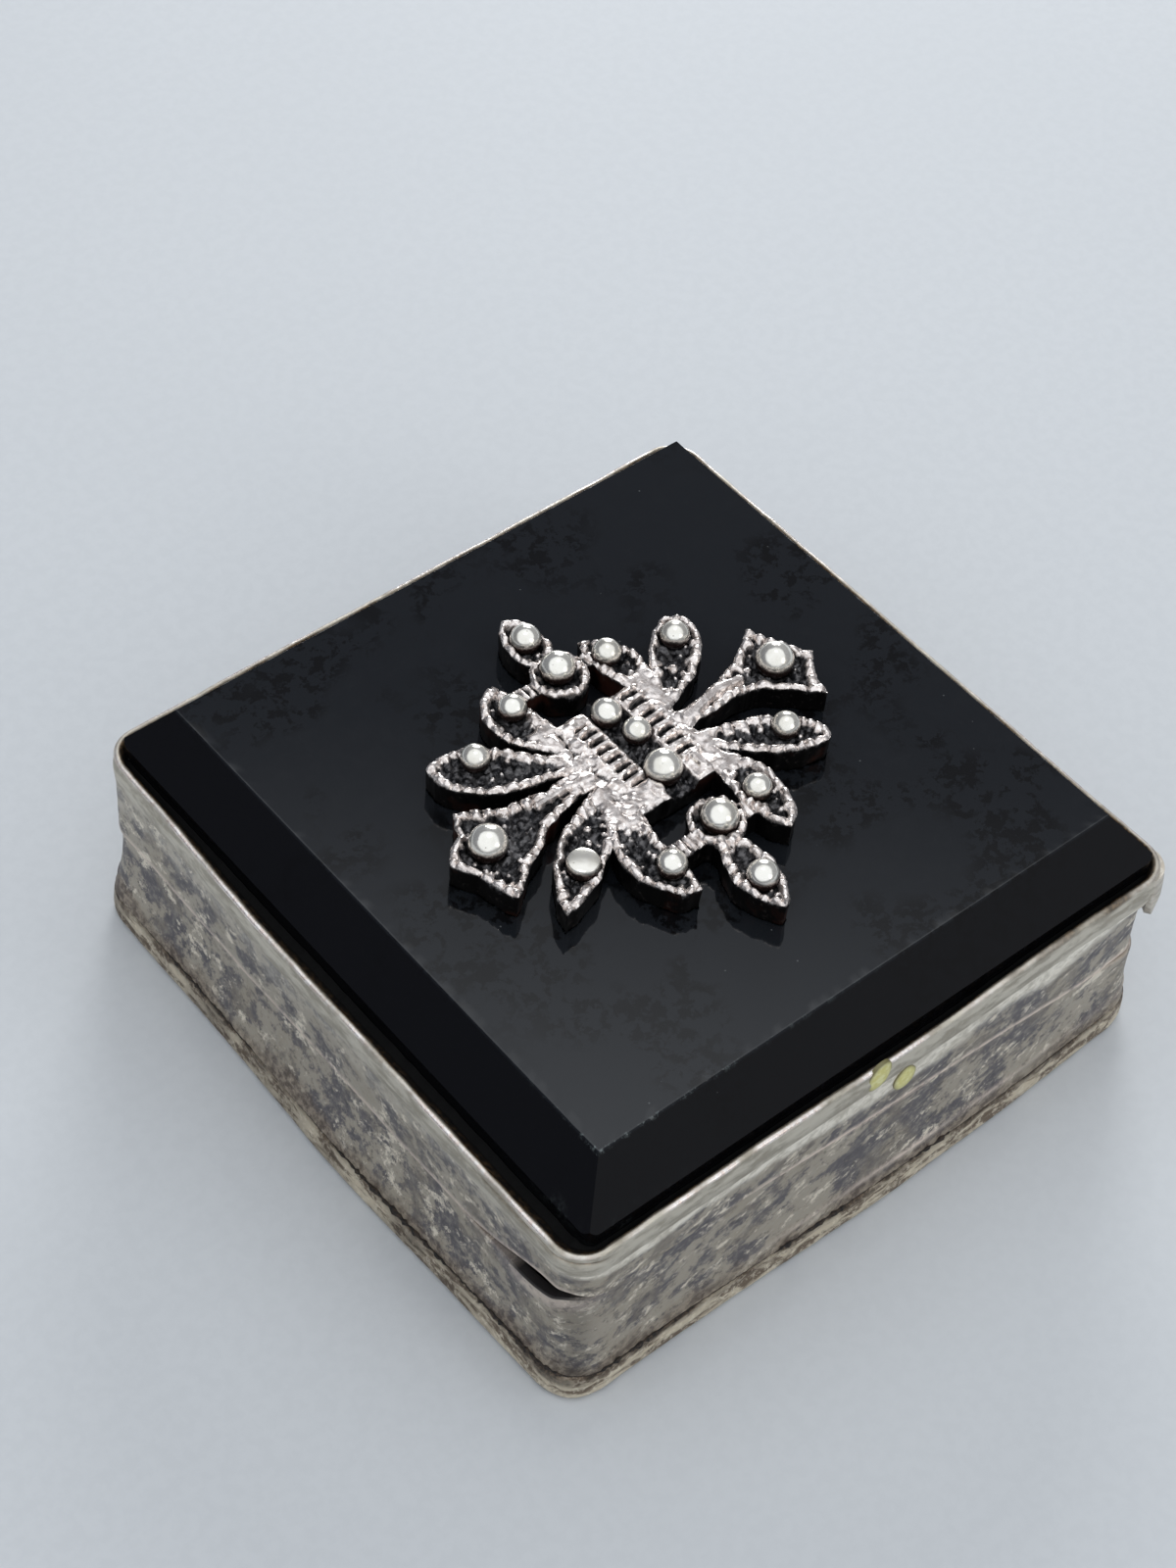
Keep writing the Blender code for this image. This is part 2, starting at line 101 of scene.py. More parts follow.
# --- Spray design, about its own centre -----------------------------------------------------------
# Petals: root, bend and tip of the middle line, half widths at the root and the belly, how far
# along the belly lies, and how bluntly the tip closes.
PETALS = (
    ((-0.35, 5.60), (-0.35, 7.00), (-0.45, 8.55), 0.62, 0.92, 0.45, 0.80),
    ((-2.00, 1.70), (-4.30, 3.60), (-2.95, 6.00), 0.62, 0.98, 0.62, 0.70),
    ((1.95, 1.50), (2.55, 3.60), (1.35, 5.80), 0.50, 0.88, 0.62, 0.70),
    ((-2.60, 0.95), (-5.20, 1.70), (-7.70, 4.10), 0.50, 1.18, 0.68, 0.50),
    ((1.80, 1.10), (3.60, 2.20), (5.75, 4.60), 0.45, 1.10, 0.68, 0.50),
    ((-2.40, -0.85), (-5.00, -2.20), (-7.90, -4.85), 0.50, 1.02, 0.55, 0.80),
    ((1.70, -1.00), (4.10, -2.20), (6.55, -4.05), 0.45, 0.98, 0.62, 0.60),
    ((-2.05, -1.60), (-4.75, -3.60), (-2.90, -7.05), 0.60, 1.02, 0.62, 0.75),
    ((1.75, -1.60), (2.55, -3.80), (1.95, -6.75), 0.50, 0.98, 0.60, 0.75),
    ((-0.55, -5.60), (-0.70, -7.30), (-0.90, -9.60), 0.58, 1.00, 0.50, 0.80),
)
LEFT_FLARE = ((-2.60, 0.55), (-4.60, 0.42), (-6.60, 0.72), (-8.30, 1.75), (-8.80, 0.65), (-10.00, -0.30),
              (-9.35, -1.30), (-8.90, -3.05), (-7.40, -2.05), (-5.60, -0.95), (-3.80, -0.50), (-2.60, -0.55))
RIGHT_FLARE = ((1.90, -0.55), (3.60, -0.35), (5.40, -0.35), (6.60, -1.20), (7.90, -2.40), (8.20, -1.10),
               (8.95, -0.25), (8.20, 0.85), (7.45, 2.35), (6.20, 1.45), (4.40, 0.75), (1.90, 0.60))
FLOWERS = (((-0.33, 4.85), 1.22), ((-0.20, -4.70), 1.20))
MIDDLE = ((-3.05, -2.72), (2.20, 2.75))
# Columns of rungs in the middle: centre, half width, start, end, pitch and noise seed.
RIB_COLUMNS = ((1.22, 0.50, -1.75, 2.70, 0.58, 76), (-1.42, 0.46, -1.50, 2.20, 0.52, 77))
BRIDGES = (((-2.60, 4.55), (1.90, 5.25)), ((-2.70, -5.35), (1.90, -4.55)))
BEADS = (
    ("top_leaf", -0.30, 7.12, 0.66),
    ("top_flower", -0.25, 5.10, 0.74),
    ("top_left_petal", -3.08, 4.52, 0.60),
    ("top_right_petal", 1.90, 4.58, 0.62),
    ("upper_left_petal", -5.92, 3.32, 0.60),
    ("upper_right_petal", 4.80, 3.70, 0.62),
    ("left_flare", -8.20, -0.38, 0.80),
    ("right_flare", 7.20, 0.20, 0.80),
    ("lower_left_petal", -5.92, -3.38, 0.68),
    ("lower_right_petal", 5.18, -2.72, 0.60),
    ("bottom_left_petal", -3.16, -5.42, 0.63),
    ("bottom_right_petal", 2.08, -4.48, 0.60),
    ("bottom_flower", -0.12, -4.74, 0.78),
    ("bottom_leaf", -0.70, -7.92, 0.66),
    ("middle_top", -0.22, 2.06, 0.65),
    ("middle", 0.16, 0.62, 0.60),
    ("middle_bottom", -0.25, -1.48, 0.80),
)
FLAT_BEAD = "lower_left_petal"
# Small cast knobs on the cells' floors: place, radius and height.
KNOBS = (
    (3.62, 2.40, 0.30, 0.42),
    (-3.88, -1.32, 0.36, 0.34),
    (-4.55, -2.00, 0.24, 0.30),
    (-4.95, -2.55, 0.22, 0.30),
    (3.15, -1.42, 0.26, 0.40),
    (3.85, -1.78, 0.27, 0.36),
    (4.35, -2.15, 0.22, 0.34),
    (-3.35, -4.60, 0.22, 0.30),
    (-2.05, 2.45, 0.42, 0.36),
    (-1.30, -5.05, 0.22, 0.30),
    (0.95, -5.00, 0.20, 0.30),
    (-0.55, 5.95, 0.26, 0.30),
    (-7.05, 0.05, 0.22, 0.25),
    (6.05, 0.55, 0.24, 0.30),
    (6.10, -0.35, 0.24, 0.30),
)
# Smooth bars laid over the stems and the ends of the rib columns: points, half width and height.
BARS = (
    (((2.30, 0.02), (3.20, 0.20), (4.30, 0.42), (5.35, 0.30)), 0.27, 0.16),
    (((-2.75, -0.10), (-4.00, 0.08), (-5.40, 0.02)), 0.20, 0.10),
    (((1.22, -1.70), (1.20, -2.25)), 0.25, 0.20),
    (((-1.05, -1.75), (-1.05, -2.20)), 0.30, 0.16),
)


# --- Noise ----------------------------------------------------------------------------------------
def chance(*counts):
    """A number from 0 to 1 that looks random, the same for the same whole numbers."""
    factors = (127.1, 311.7, 74.7, 19.19)
    mixed = sum(np.asarray(count, float) * factor for count, factor in zip(counts, factors))
    wild = np.sin(mixed) * 43758.5453
    return wild - np.floor(wild)


def cloud(x, y, z, seed=0):
    """Smooth noise from -1 to 1, with one unit as its grain."""
    x = np.asarray(x, float)
    y = np.asarray(y, float)
    z = np.asarray(z, float)
    cell = [np.floor(v) for v in (x, y, z)]
    part = [v - c for v, c in zip((x, y, z), cell)]
    ease = [p * p * (3 - 2 * p) for p in part]
    total = 0.0
    for i in (0, 1):
        for j in (0, 1):
            for k in (0, 1):
                share = ((ease[0] if i else 1 - ease[0]) * (ease[1] if j else 1 - ease[1])
                         * (ease[2] if k else 1 - ease[2]))
                total = total + share * chance(cell[0] + i, cell[1] + j, cell[2] + k, seed)
    return 2 * total - 1


def mottling(x, y, size, seed):
    """Smooth noise over a plane, with a grain of a size in millimetres."""
    return cloud(x / size, y / size, 0, seed)


def crumbs(x, y, grain, seed):
    """Distance to the nearest of scattered points, about one to each grain, from 0 to 1."""
    x = np.asarray(x) / grain
    y = np.asarray(y) / grain
    nearest = np.full(x.shape, 9.0)
    for i in (-1, 0, 1):
        for j in (-1, 0, 1):
            column = np.floor(x) + i
            row = np.floor(y) + j
            point_x = column + 0.15 + 0.7 * chance(column, row, 1, seed)
            point_y = row + 0.15 + 0.7 * chance(column, row, 2, seed)
            nearest = np.minimum(nearest, np.hypot(x - point_x, y - point_y))
    return np.clip(nearest, 0, 1)


def step(value, start, end):
    """0 before start, 1 after end, and smooth between."""
    t = np.clip((np.asarray(value, float) - start) / (end - start), 0, 1)
    return t * t * (3 - 2 * t)


# --- Mesh tools -----------------------------------------------------------------------------------
def new_piece(name, points, faces, material, body, replaces=None, sharp=35, values=None):
    """A mesh object from points in millimetres, which rides on a body and may stand for a CAD node."""
    mesh = bpy.data.meshes.new(name)
    mesh.from_pydata((np.asarray(points) * MM).tolist(), [], faces)
    for title, numbers in (values or {}).items():
        kept = mesh.attributes.new(title, "FLOAT", "POINT")
        kept.data.foreach_set("value", np.asarray(numbers, np.float32))
    shape = bmesh.new()
    shape.from_mesh(mesh)
    bmesh.ops.recalc_face_normals(shape, faces=shape.faces)
    shape.to_mesh(mesh)
    shape.free()
    piece = bpy.data.objects.new(name, mesh)
    bpy.context.scene.collection.objects.link(piece)
    mesh.materials.append(material)
    dress(piece, body, replaces, sharp)
    return piece


def shown(node, points, faces, material, body, sharp=35, values=None):
    """A piece that stands for a CAD node and is named after it."""
    return new_piece(node + "_shown", points, faces, material, body, node, sharp, values)


def dress(piece, body, replaces=None, sharp=35):
    piece.data.shade_smooth()
    piece.data.set_sharp_from_angle(angle=radians(sharp))
    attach(piece, body)
    if replaces:
        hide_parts(replaces)


def cut(piece, corner_low, corner_high):
    """Takes a box out of a closed piece."""
    shape = bmesh.new()
    bmesh.ops.create_cube(shape, size=1.0)
    size = Vector(corner_high) - Vector(corner_low)
    middle = (Vector(corner_high) + Vector(corner_low)) / 2
    for vertex in shape.verts:
        vertex.co = Vector([middle[k] + vertex.co[k] * size[k] for k in range(3)]) * MM
    mesh = bpy.data.meshes.new("cutter")
    shape.to_mesh(mesh)
    shape.free()
    cutter = bpy.data.objects.new("cutter", mesh)
    bpy.context.scene.collection.objects.link(cutter)
    boolean = piece.modifiers.new("cut", "BOOLEAN")
    boolean.operation = "DIFFERENCE"
    boolean.solver = "EXACT"
    boolean.object = cutter
    bpy.context.view_layer.update()
    result = bpy.data.meshes.new_from_object(piece.evaluated_get(bpy.context.evaluated_depsgraph_get()))
    piece.modifiers.clear()
    piece.data = result
    bpy.data.objects.remove(cutter)


SIDE_STEP = 0.16
CORNER_STEPS = 20


def square_stations():
    """Points round the lid wall's outer face, anticlockwise from above, with their outward directions."""
    reach = BODY_HALF - CORNER_RADIUS
    count = int(2 * reach / SIDE_STEP)
    places = []
    ways = []
    for quarter in range(4):
        turn = Matrix.Rotation(quarter * pi / 2, 2)
        for i in range(count):
            places.append(turn @ Vector((BODY_HALF, -reach + 2 * reach * i / count)))
            ways.append(turn @ Vector((1.0, 0.0)))
        for i in range(CORNER_STEPS):
            angle = pi / 2 * i / CORNER_STEPS
            way = Vector((cos(angle), sin(angle)))
            places.append(turn @ (Vector((reach, reach)) + way * CORNER_RADIUS))
            ways.append(turn @ way)
    return np.array(places), np.array(ways)


STATIONS, STATION_WAYS = square_stations()


def loop_faces(stations, points, closed=True):
    """Quads between stations, each a closed ring of points."""
    faces = []
    for i in range(stations if closed else stations - 1):
        here = i * points
        after = (i + 1) % stations * points
        for j in range(points):
            following = (j + 1) % points
            faces.append((here + j, after + j, after + following, here + following))
    return faces


def swept(profile, bend, lean=None):
    """A profile of (distance out from the lid wall's face, height) carried round the box.
    bend(x, y, outward x, outward y, out, z) gives the extra distance out and the extra height,
    and lean(x, y, z) a shift in plan."""
    out = np.array([p[0] for p in profile])[None, :]
    z = np.array([p[1] for p in profile])[None, :] + np.zeros((len(STATIONS), 1))
    x = STATIONS[:, :1]
    y = STATIONS[:, 1:]
    way_x = STATION_WAYS[:, :1]
    way_y = STATION_WAYS[:, 1:]
    more_out, more_up = bend(x, y, way_x, way_y, out, z)
    reach = out + more_out
    shift_x, shift_y = lean(x, y, z) if lean else (0.0, 0.0)
    points = np.stack([x + way_x * reach + shift_x, y + way_y * reach + shift_y, z + more_up], -1)
    return points.reshape(-1, 3)


def swept_faces(profile):
    return loop_faces(len(STATIONS), len(profile))


def in_profile(profile, axis):
    """Each swept point's own distance out (axis 0) or height (axis 1) in its profile."""
    return np.tile([p[axis] for p in profile], len(STATIONS))


def rounded_run(start, end, steps):
    """Points from start to end, without the end."""
    return [(start[0] + (end[0] - start[0]) * i / steps, start[1] + (end[1] - start[1]) * i / steps)
            for i in range(steps)]


def quarter_round(centre, radius, start, end, steps=4):
    """Points on an arc in a profile, ends included."""
    return [(centre[0] + radius * cos(start + (end - start) * i / steps),
             centre[1] + radius * sin(start + (end - start) * i / steps)) for i in range(steps + 1)]


# --- How the old sheet metal has moved ------------------------------------------------------------
def hump(value, centre, width):
    """1 at the centre and falling away to both sides."""
    return np.exp(-((value - centre) / width) ** 2)


def dents(x, y, z, size, seed):
    """Uneven hand-worked metal: long swells with small dents on them."""
    total = 0.0
    for number, (share, grain_size) in enumerate(((0.6, 5.0), (0.3, 1.8), (0.12, 0.5))):
        total = total + share * cloud(x / grain_size, y / grain_size, z / grain_size, seed + number)
    return size * total


def near_left(x, y):
    """1 on the left side from its middle to the near corner, 0 on the other three sides."""
    return step(-x, 8.0, 14.5) * step(-y, -BODY_HALF, -2.0)


def lid_lean(x, y, z):
    """The lid's left side stands out at the rim, near corner and all."""
    share = 0.35 + 0.65 * step(z, SEAM_HIGH, RIM)
    return -0.42 * near_left(x, y) * share, 0.0


def base_lean(x, y, z):
    """The foot's left side is a little bowed out, and its front is pushed in near both corners."""
    share = 0.3 + 0.7 * step(-z, -SEAM_LOW, 0.0)
    left = step(-x, 8.0, 14.5)
    front = step(-y, 8.0, 14.5)
    shift_x = left * (0.10 * hump(y, -16.0, 3.0) - 0.30 * hump(y, -2.0, 7.0))
    shift_y = front * (0.45 * hump(x, 16.0, 6.0) + 0.26 * hump(x, -11.5, 6.5))
    pushed_out = 0.48 * left * hump(y, -13.0, 3.6) * step(z, BASE_WALL_LOW + 0.6, SEAM_LOW)
    return shift_x * share - pushed_out, shift_y * share


def seam_rise(x, y):
    """The seam climbs along the front towards the near corner, and drops quickly on the left side."""
    slant = 0.75 - 0.055 * x + 0.25 * hump(x, -8.0, 5.0) - 0.45 * step(x, 5.0, 15.0)
    front = step(-y, 12.0, 15.0) * slant
    left = step(-x, 12.0, 15.0) * 1.5 * step(-y, 8.5, 15.0)
    return np.where(x < 0, np.maximum(front, left), front)


def seam_gap(x, y):
    """A lens-shaped gap between the two walls, on the left of the near corner."""
    return 0.50 * step(-x, 14.0, 15.2) * hump(y, -13.6, 1.5)


def lid_bend(x, y, way_x, way_y, out, z):
    """The lid is pressed in at the right corner, its rim dips along the front, and its seam is uneven."""
    right_corner = hump(np.hypot(x - BODY_HALF, y + BODY_HALF), 0.0, 3.0)
    below_rim = 1 - step(z, LID_WALL_TOP - 0.7, LID_WALL_TOP - 0.1)
    swell = dents(x, y, z, 0.05, 11) - 0.38 * right_corner * below_rim
    front_dip = np.clip(-way_y, 0, 1) * (0.24 * hump(x, 2.0, 4.5) - 0.06 * hump(x, 9.0, 3.0))
    dip = step(z, SEAM_HIGH, RIM) * front_dip
    low_share = 1 - step(z, SEAM_HIGH, RIM - 1.0)
    return swell, (seam_rise(x, y) + 0.25 * seam_gap(x, y)) * low_share - dip


def stop_face(y, out, way_y, z, seam, upward):
    """Height change that leaves the V along the back seam open for the lid to turn."""
    past = np.clip(y + way_y * out - HINGE_Y, 0, None) * STOP_SLOPE
    fade = 1 - np.clip(np.abs(z - seam) / 1.4, 0, 1)
    return upward * past * fade


# --- Node tools -----------------------------------------------------------------------------------
def set_inputs(node, inputs):
    """Sets a node's inputs to values, or links them to outputs."""
    for key, value in inputs.items():
        if isinstance(value, bpy.types.NodeSocket):
            node.id_data.links.new(value, node.inputs[key])
        else:
            node.inputs[key].default_value = value


def put(near, kind, inputs=None, **settings):
    """A node in the same tree as near, which is a socket or the tree itself."""
    node = near.id_data.nodes.new(kind)
    for key, value in settings.items():
        setattr(node, key, value)
    set_inputs(node, inputs or {})
    return node


def new_look(name):
    """A material with its Principled shader and coordinates in millimetres."""
    material = bpy.data.materials.new(name)
    material.use_nodes = True
    shader = material.node_tree.nodes["Principled BSDF"]
    coords = put(material.node_tree, "ShaderNodeTexCoord").outputs["Object"]
    place = put(coords, "ShaderNodeVectorMath", {0: coords, 3: 1 / MM}, operation="SCALE")
    return material, shader, place.outputs[0]


def stretched(place, scale):
    return put(place, "ShaderNodeVectorMath", {0: place, 1: scale}, operation="MULTIPLY").outputs[0]


def lifted(place, rise):
    """Coordinates moved up by a number that is an output."""
    offset = put(place, "ShaderNodeCombineXYZ", {"Z": rise}).outputs[0]
    return put(place, "ShaderNodeVectorMath", {0: place, 1: offset}, operation="ADD").outputs[0]


def grain(place, scale, detail=3.0, rough=0.55, twist=0.0):
    """Noise with a grain of 1 / scale millimetres."""
    inputs = {"Vector": place, "Scale": scale, "Detail": detail, "Roughness": rough, "Distortion": twist}
    return put(place, "ShaderNodeTexNoise", inputs).outputs["Fac"]


def cells(place, scale):
    return put(place, "ShaderNodeTexVoronoi", {"Vector": place, "Scale": scale}).outputs["Distance"]


def spread(value, start, end, low_value=0.0, high_value=1.0):
    """Goes smoothly from the low value to the high one as the value goes from start to end."""
    inputs = {"Value": value, "From Min": start, "From Max": end, "To Min": low_value, "To Max": high_value}
    return put(value, "ShaderNodeMapRange", inputs, interpolation_type="SMOOTHSTEP").outputs["Result"]


def sums(operation, first, second):
    return put(first, "ShaderNodeMath", {0: first, 1: second}, operation=operation).outputs[0]


def tint(share, first, second):
    """Mix of two colours, each a colour or an output."""
    return put(share, "ShaderNodeMix", {0: share, 6: first, 7: second}, data_type="RGBA").outputs[2]


def fade(value, start, end, first, second, most=1.0):
    """Goes from the first colour towards the second as the value goes from start to end."""
    return tint(spread(value, start, end, 0.0, most), first, second)


def rgb(red, green, blue):
    return (red, green, blue, 1.0)


def height_above(place, start, end):
    """0 below the height start, 1 above the height end."""
    return spread(put(place, "ShaderNodeSeparateXYZ", {0: place}).outputs["Z"], start, end)


def named_value(place, name):
    """A value that the mesh keeps at each point."""
    return put(place, "ShaderNodeAttribute", attribute_name=name).outputs["Fac"]


def finish_look(shader, colour, metallic, rough, height, depth, strength):
    """Connects a look's colour and roughness, and its bump of a depth in millimetres."""
    bump = put(height, "ShaderNodeBump", {"Height": height, "Strength": strength, "Distance": depth * MM})
    set_inputs(shader, {"Base Color": colour, "Metallic": metallic, "Roughness": rough})
    set_inputs(shader, {"Normal": bump.outputs[0]})


# --- Materials ------------------------------------------------------------------------------------
def wall_look(name, brown_from, brown_to):
    """Old sheet silver: warm grey oxide, mottled and specked with paler metal, brown low down.
    The mesh says where it is pale, rubbed bright or dark."""
    material, shader, place = new_look(name)
    slanted = put(place, "ShaderNodeVectorRotate", {0: place, "Angle": radians(16)},
                  rotation_type="Y_AXIS").outputs[0]
    mottle = grain(stretched(slanted, (0.7, 1.0, 1.15)), 0.55, 8.0, 0.74)
    specks = grain(stretched(slanted, (0.7, 1.0, 1.1)), 2.6, 5.0, 0.72)
    blotches = grain(place, 0.30, 5.0, 0.62)
    flecks = grain(stretched(slanted, (0.6, 1.0, 1.15)), 0.90, 8.0, 0.78)
    oxide = fade(mottle, 0.465, 0.535, rgb(0.118, 0.109, 0.118), rgb(0.380, 0.338, 0.276))
    oxide = fade(blotches, 0.50, 0.62, oxide, rgb(0.33, 0.285, 0.215), 0.50)
    oxide = fade(specks, 0.47, 0.66, oxide, rgb(0.39, 0.365, 0.31), 0.45)
    oxide = fade(specks, 0.44, 0.34, oxide, rgb(0.070, 0.065, 0.064), 0.65)
    oxide = fade(flecks, 0.54, 0.62, oxide, rgb(0.80, 0.73, 0.61), 0.90)
    pale = fade(specks, 0.38, 0.60, rgb(0.58, 0.54, 0.455), rgb(0.88, 0.835, 0.735))
    colour = tint(named_value(place, "pale"), oxide, pale)
    wander = put(place, "ShaderNodeMath", {0: grain(place, 0.40, 4.0, 0.6), 1: 2.4, 2: -1.2},
                 operation="MULTIPLY_ADD").outputs[0]
    brownness = height_above(lifted(place, wander), brown_from, brown_to)
    brown = fade(specks, 0.42, 0.60, rgb(0.110, 0.080, 0.058), rgb(0.33, 0.27, 0.205))
    colour = tint(sums("MULTIPLY", brownness, 0.8), colour, brown)
    # Near black where the mesh says dark: painted shade in the seam gap and a darker strip at the base
    # wall's near corner.
    colour = tint(named_value(place, "dark"), colour, rgb(0.020, 0.018, 0.018))
    worn = sums("MULTIPLY", named_value(place, "rubbed"), spread(specks, 0.32, 0.54, 0.40, 1.0))
    colour = tint(worn, colour, rgb(0.80, 0.68, 0.59))
    finish_look(shader, colour, 0.40, spread(mottle, 0.3, 0.7, 0.55, 0.38), sums("ADD", specks, mottle),
                0.03, 0.7)
    return material


def rim_look():
    """The bezel: a bright rubbed line at the rim, pale olive metal below it and brown stains inside."""
    material, shader, place = new_look("bezel_silver")
    streaks = grain(stretched(place, (0.6, 0.6, 2.0)), 1.1, 5.0, 0.6)
    specks = grain(place, 4.0, 4.0, 0.7)
    dull = fade(streaks, 0.40, 0.60, rgb(0.38, 0.345, 0.280), rgb(0.60, 0.56, 0.475))
    dull = fade(specks, 0.5, 0.7, dull, rgb(0.64, 0.61, 0.54), 0.4)
    bright = fade(specks, 0.40, 0.60, rgb(0.80, 0.68, 0.62), rgb(0.96, 0.91, 0.88))
    rubbed = named_value(place, "rubbed")
    colour = tint(rubbed, dull, bright)
    stain = fade(specks, 0.42, 0.6, rgb(0.030, 0.017, 0.009), rgb(0.17, 0.105, 0.050))
    colour = tint(named_value(place, "stain"), colour, stain)
    finish_look(shader, colour, 0.7, spread(rubbed, 0.0, 1.0, 0.46, 0.26), sums("ADD", specks, streaks),
                0.025, 0.7)
    return material


def foot_look():
    """The foot: worn pinkish silver on its round edge, brown and black dirt in the joint above, and painted
    shadow on its underside.
    """
    material, shader, place = new_look("foot_silver")
    streaks = grain(stretched(place, (0.5, 0.5, 1.6)), 1.0, 5.0, 0.65, 0.5)
    specks = grain(place, 3.5, 4.0, 0.7)
    worn = fade(streaks, 0.43, 0.56, rgb(0.180, 0.135, 0.095), rgb(0.66, 0.58, 0.445))
    worn = fade(specks, 0.50, 0.66, worn, rgb(0.84, 0.77, 0.63), 0.7)
    soot_and_shade = fade(specks, 0.40, 0.60, rgb(0.018, 0.013, 0.010), rgb(0.13, 0.09, 0.06))
    # Also painted shadow: the same dark colour goes on the foot's underside by the floor.
    colour = tint(named_value(place, "dirt_and_underside_shade"), worn, soot_and_shade)
    finish_look(shader, colour, 0.45, spread(streaks, 0.3, 0.7, 0.62, 0.42), sums("ADD", specks, streaks),
                0.05, 0.9)
    return material


def inside_look(name, base, dark):
    """Satin silver inside the box, with fine rubbed lines, soft yellow-grey tarnish and, where the mesh
    marks it, painted shade in near black.
    """
    material, shader, place = new_look(name)
    lines = grain(stretched(place, (0.15, 4.0, 4.0)), 2.0, 3.0, 0.6)
    clouds = grain(place, 0.22, 4.0, 0.6, 0.5)
    specks = grain(place, 3.0, 3.0, 0.7)
    colour = fade(clouds, 0.38, 0.68, base, dark)
    colour = fade(specks, 0.60, 0.74, colour, rgb(0.16, 0.14, 0.11), 0.6)
    # Painted shade: near black where the mesh marks the bearer's outer face, behind the seam gap.
    colour = tint(named_value(place, "gap_shade"), colour, rgb(0.012, 0.010, 0.009))
    finish_look(shader, colour, 0.95, spread(clouds, 0.3, 0.7, 0.26, 0.44), sums("ADD", lines, specks),
                0.012, 0.5)
    return material


def stone_look():
    """Black onyx under a thin grey film, with clean spots and rings in it. Its worn edges are pale
    here and there, and a little white dust lies on it."""
    material, shader, place = new_look("black_onyx")
    patches = grain(place, 0.17, 2.0, 0.5, 0.3)
    blots = grain(place, 1.35, 6.0, 0.70, 0.2)
    drops = cells(place, 0.42)
    clean = sums("MULTIPLY", spread(patches, 0.44, 0.58), spread(blots, 0.50, 0.55))
    ring = sums("MULTIPLY", spread(drops, 0.30, 0.34), spread(drops, 0.42, 0.38))
    ring = sums("MULTIPLY", ring, spread(patches, 0.50, 0.60))
    clean = sums("MAXIMUM", clean, sums("MULTIPLY", ring, spread(blots, 0.42, 0.52)))
    on_table = height_above(place, STONE_TOP - 0.12, STONE_TOP - 0.02)
    film = tint(on_table, rgb(0.0022, 0.0023, 0.0030), rgb(0.0088, 0.0103, 0.0128))
    film = tint(sums("MULTIPLY", clean, 0.9), film, rgb(0.0012, 0.0012, 0.0015))
    film = fade(cells(place, 0.62), 0.032, 0.012, film, rgb(0.25, 0.26, 0.26), 0.30)
    chipped = sums("MULTIPLY", named_value(place, "arris"), spread(grain(place, 1.6, 5.0, 0.8), 0.52, 0.62))
    colour = tint(chipped, film, rgb(0.16, 0.19, 0.19))
    rough = spread(blots, 0.3, 0.7, 0.035, 0.10)
    shader.inputs["IOR"].default_value = 1.54
    finish_look(shader, colour, 0.0, sums("ADD", rough, sums("MULTIPLY", chipped, 0.4)),
                grain(place, 0.9, 2.0, 0.4), 0.002, 0.2)
    return material


def cast_look():
    """The casting: rubbed bright on every high edge, black-brown oxide in the hollows and on the
    sides. The mesh says how high each point stands."""
    material, shader, place = new_look("cast_silver")
    height = named_value(place, "rubbed")
    specks = grain(place, 3.6, 4.0, 0.7)
    soft = sums("ADD", height, spread(specks, 0.3, 0.7, -0.14, 0.14))
    rubbed = spread(soft, 0.36, 0.74)
    hollow = fade(specks, 0.4, 0.62, rgb(0.010, 0.010, 0.012), rgb(0.140, 0.135, 0.138))
    metal = fade(specks, 0.34, 0.62, rgb(0.52, 0.455, 0.42), rgb(0.93, 0.86, 0.82))
    colour = tint(rubbed, hollow, metal)
    rust = fade(grain(place, 0.35, 4.0), 0.54, 0.68, rgb(0.006, 0.005, 0.005), rgb(0.100, 0.034, 0.022))
    rust = fade(specks, 0.56, 0.70, rust, rgb(0.14, 0.12, 0.11), 0.5)
    colour = tint(named_value(place, "side"), colour, rust)
    finish_look(shader, colour, 0.85, spread(rubbed, 0.0, 1.0, 0.48, 0.24), specks, 0.02, 0.4)
    return material


def bead_look():
    """Polished silver grains with a faint yellow bloom, a few dark pits, and painted shade and reflection
    darkening them low down.
    """
    material, shader, place = new_look("bead_silver")
    bloom = grain(place, 0.9, 3.0, 0.55)
    pits = cells(place, 2.6)
    colour = fade(bloom, 0.4, 0.7, rgb(0.94, 0.915, 0.845), rgb(0.80, 0.765, 0.68))
    colour = fade(pits, 0.10, 0.04, colour, rgb(0.20, 0.16, 0.13), 0.7)
    # Painted shade and reflection: each bead's lower part, next to the casting, is coloured dark red-brown.
    uneven = lifted(place, spread(bloom, 0.3, 0.7, -0.06, 0.06))
    clean = height_above(uneven, BEAD_LEVEL + 0.02, BEAD_LEVEL + 0.34)
    colour = tint(clean, rgb(0.050, 0.030, 0.026), colour)
    finish_look(shader, colour, 0.76, spread(bloom, 0.3, 0.7, 0.15, 0.23), bloom, 0.015, 0.25)
    return material


def cement_look():
    """Near-black setting cement, partly painted shade in the gap round the stone, with brown lines where the
    bezel has leaked tarnish.
    """
    material, shader, place = new_look("setting_cement_and_gap_shade")
    specks = grain(place, 4.0, 4.0, 0.7)
    edge = fade(specks, 0.44, 0.64, rgb(0.006, 0.004, 0.003), rgb(0.060, 0.036, 0.016))
    # Painted shade in part: the cement's near-black colour also makes the narrow gap round the stone read
    # dark.
    colour = tint(named_value(place, "near_rim"), rgb(0.001, 0.001, 0.001), edge)
    shader.inputs["Specular IOR Level"].default_value = 0.15
    finish_look(shader, colour, 0.0, 0.75, specks, 0.04, 0.8)
    return material


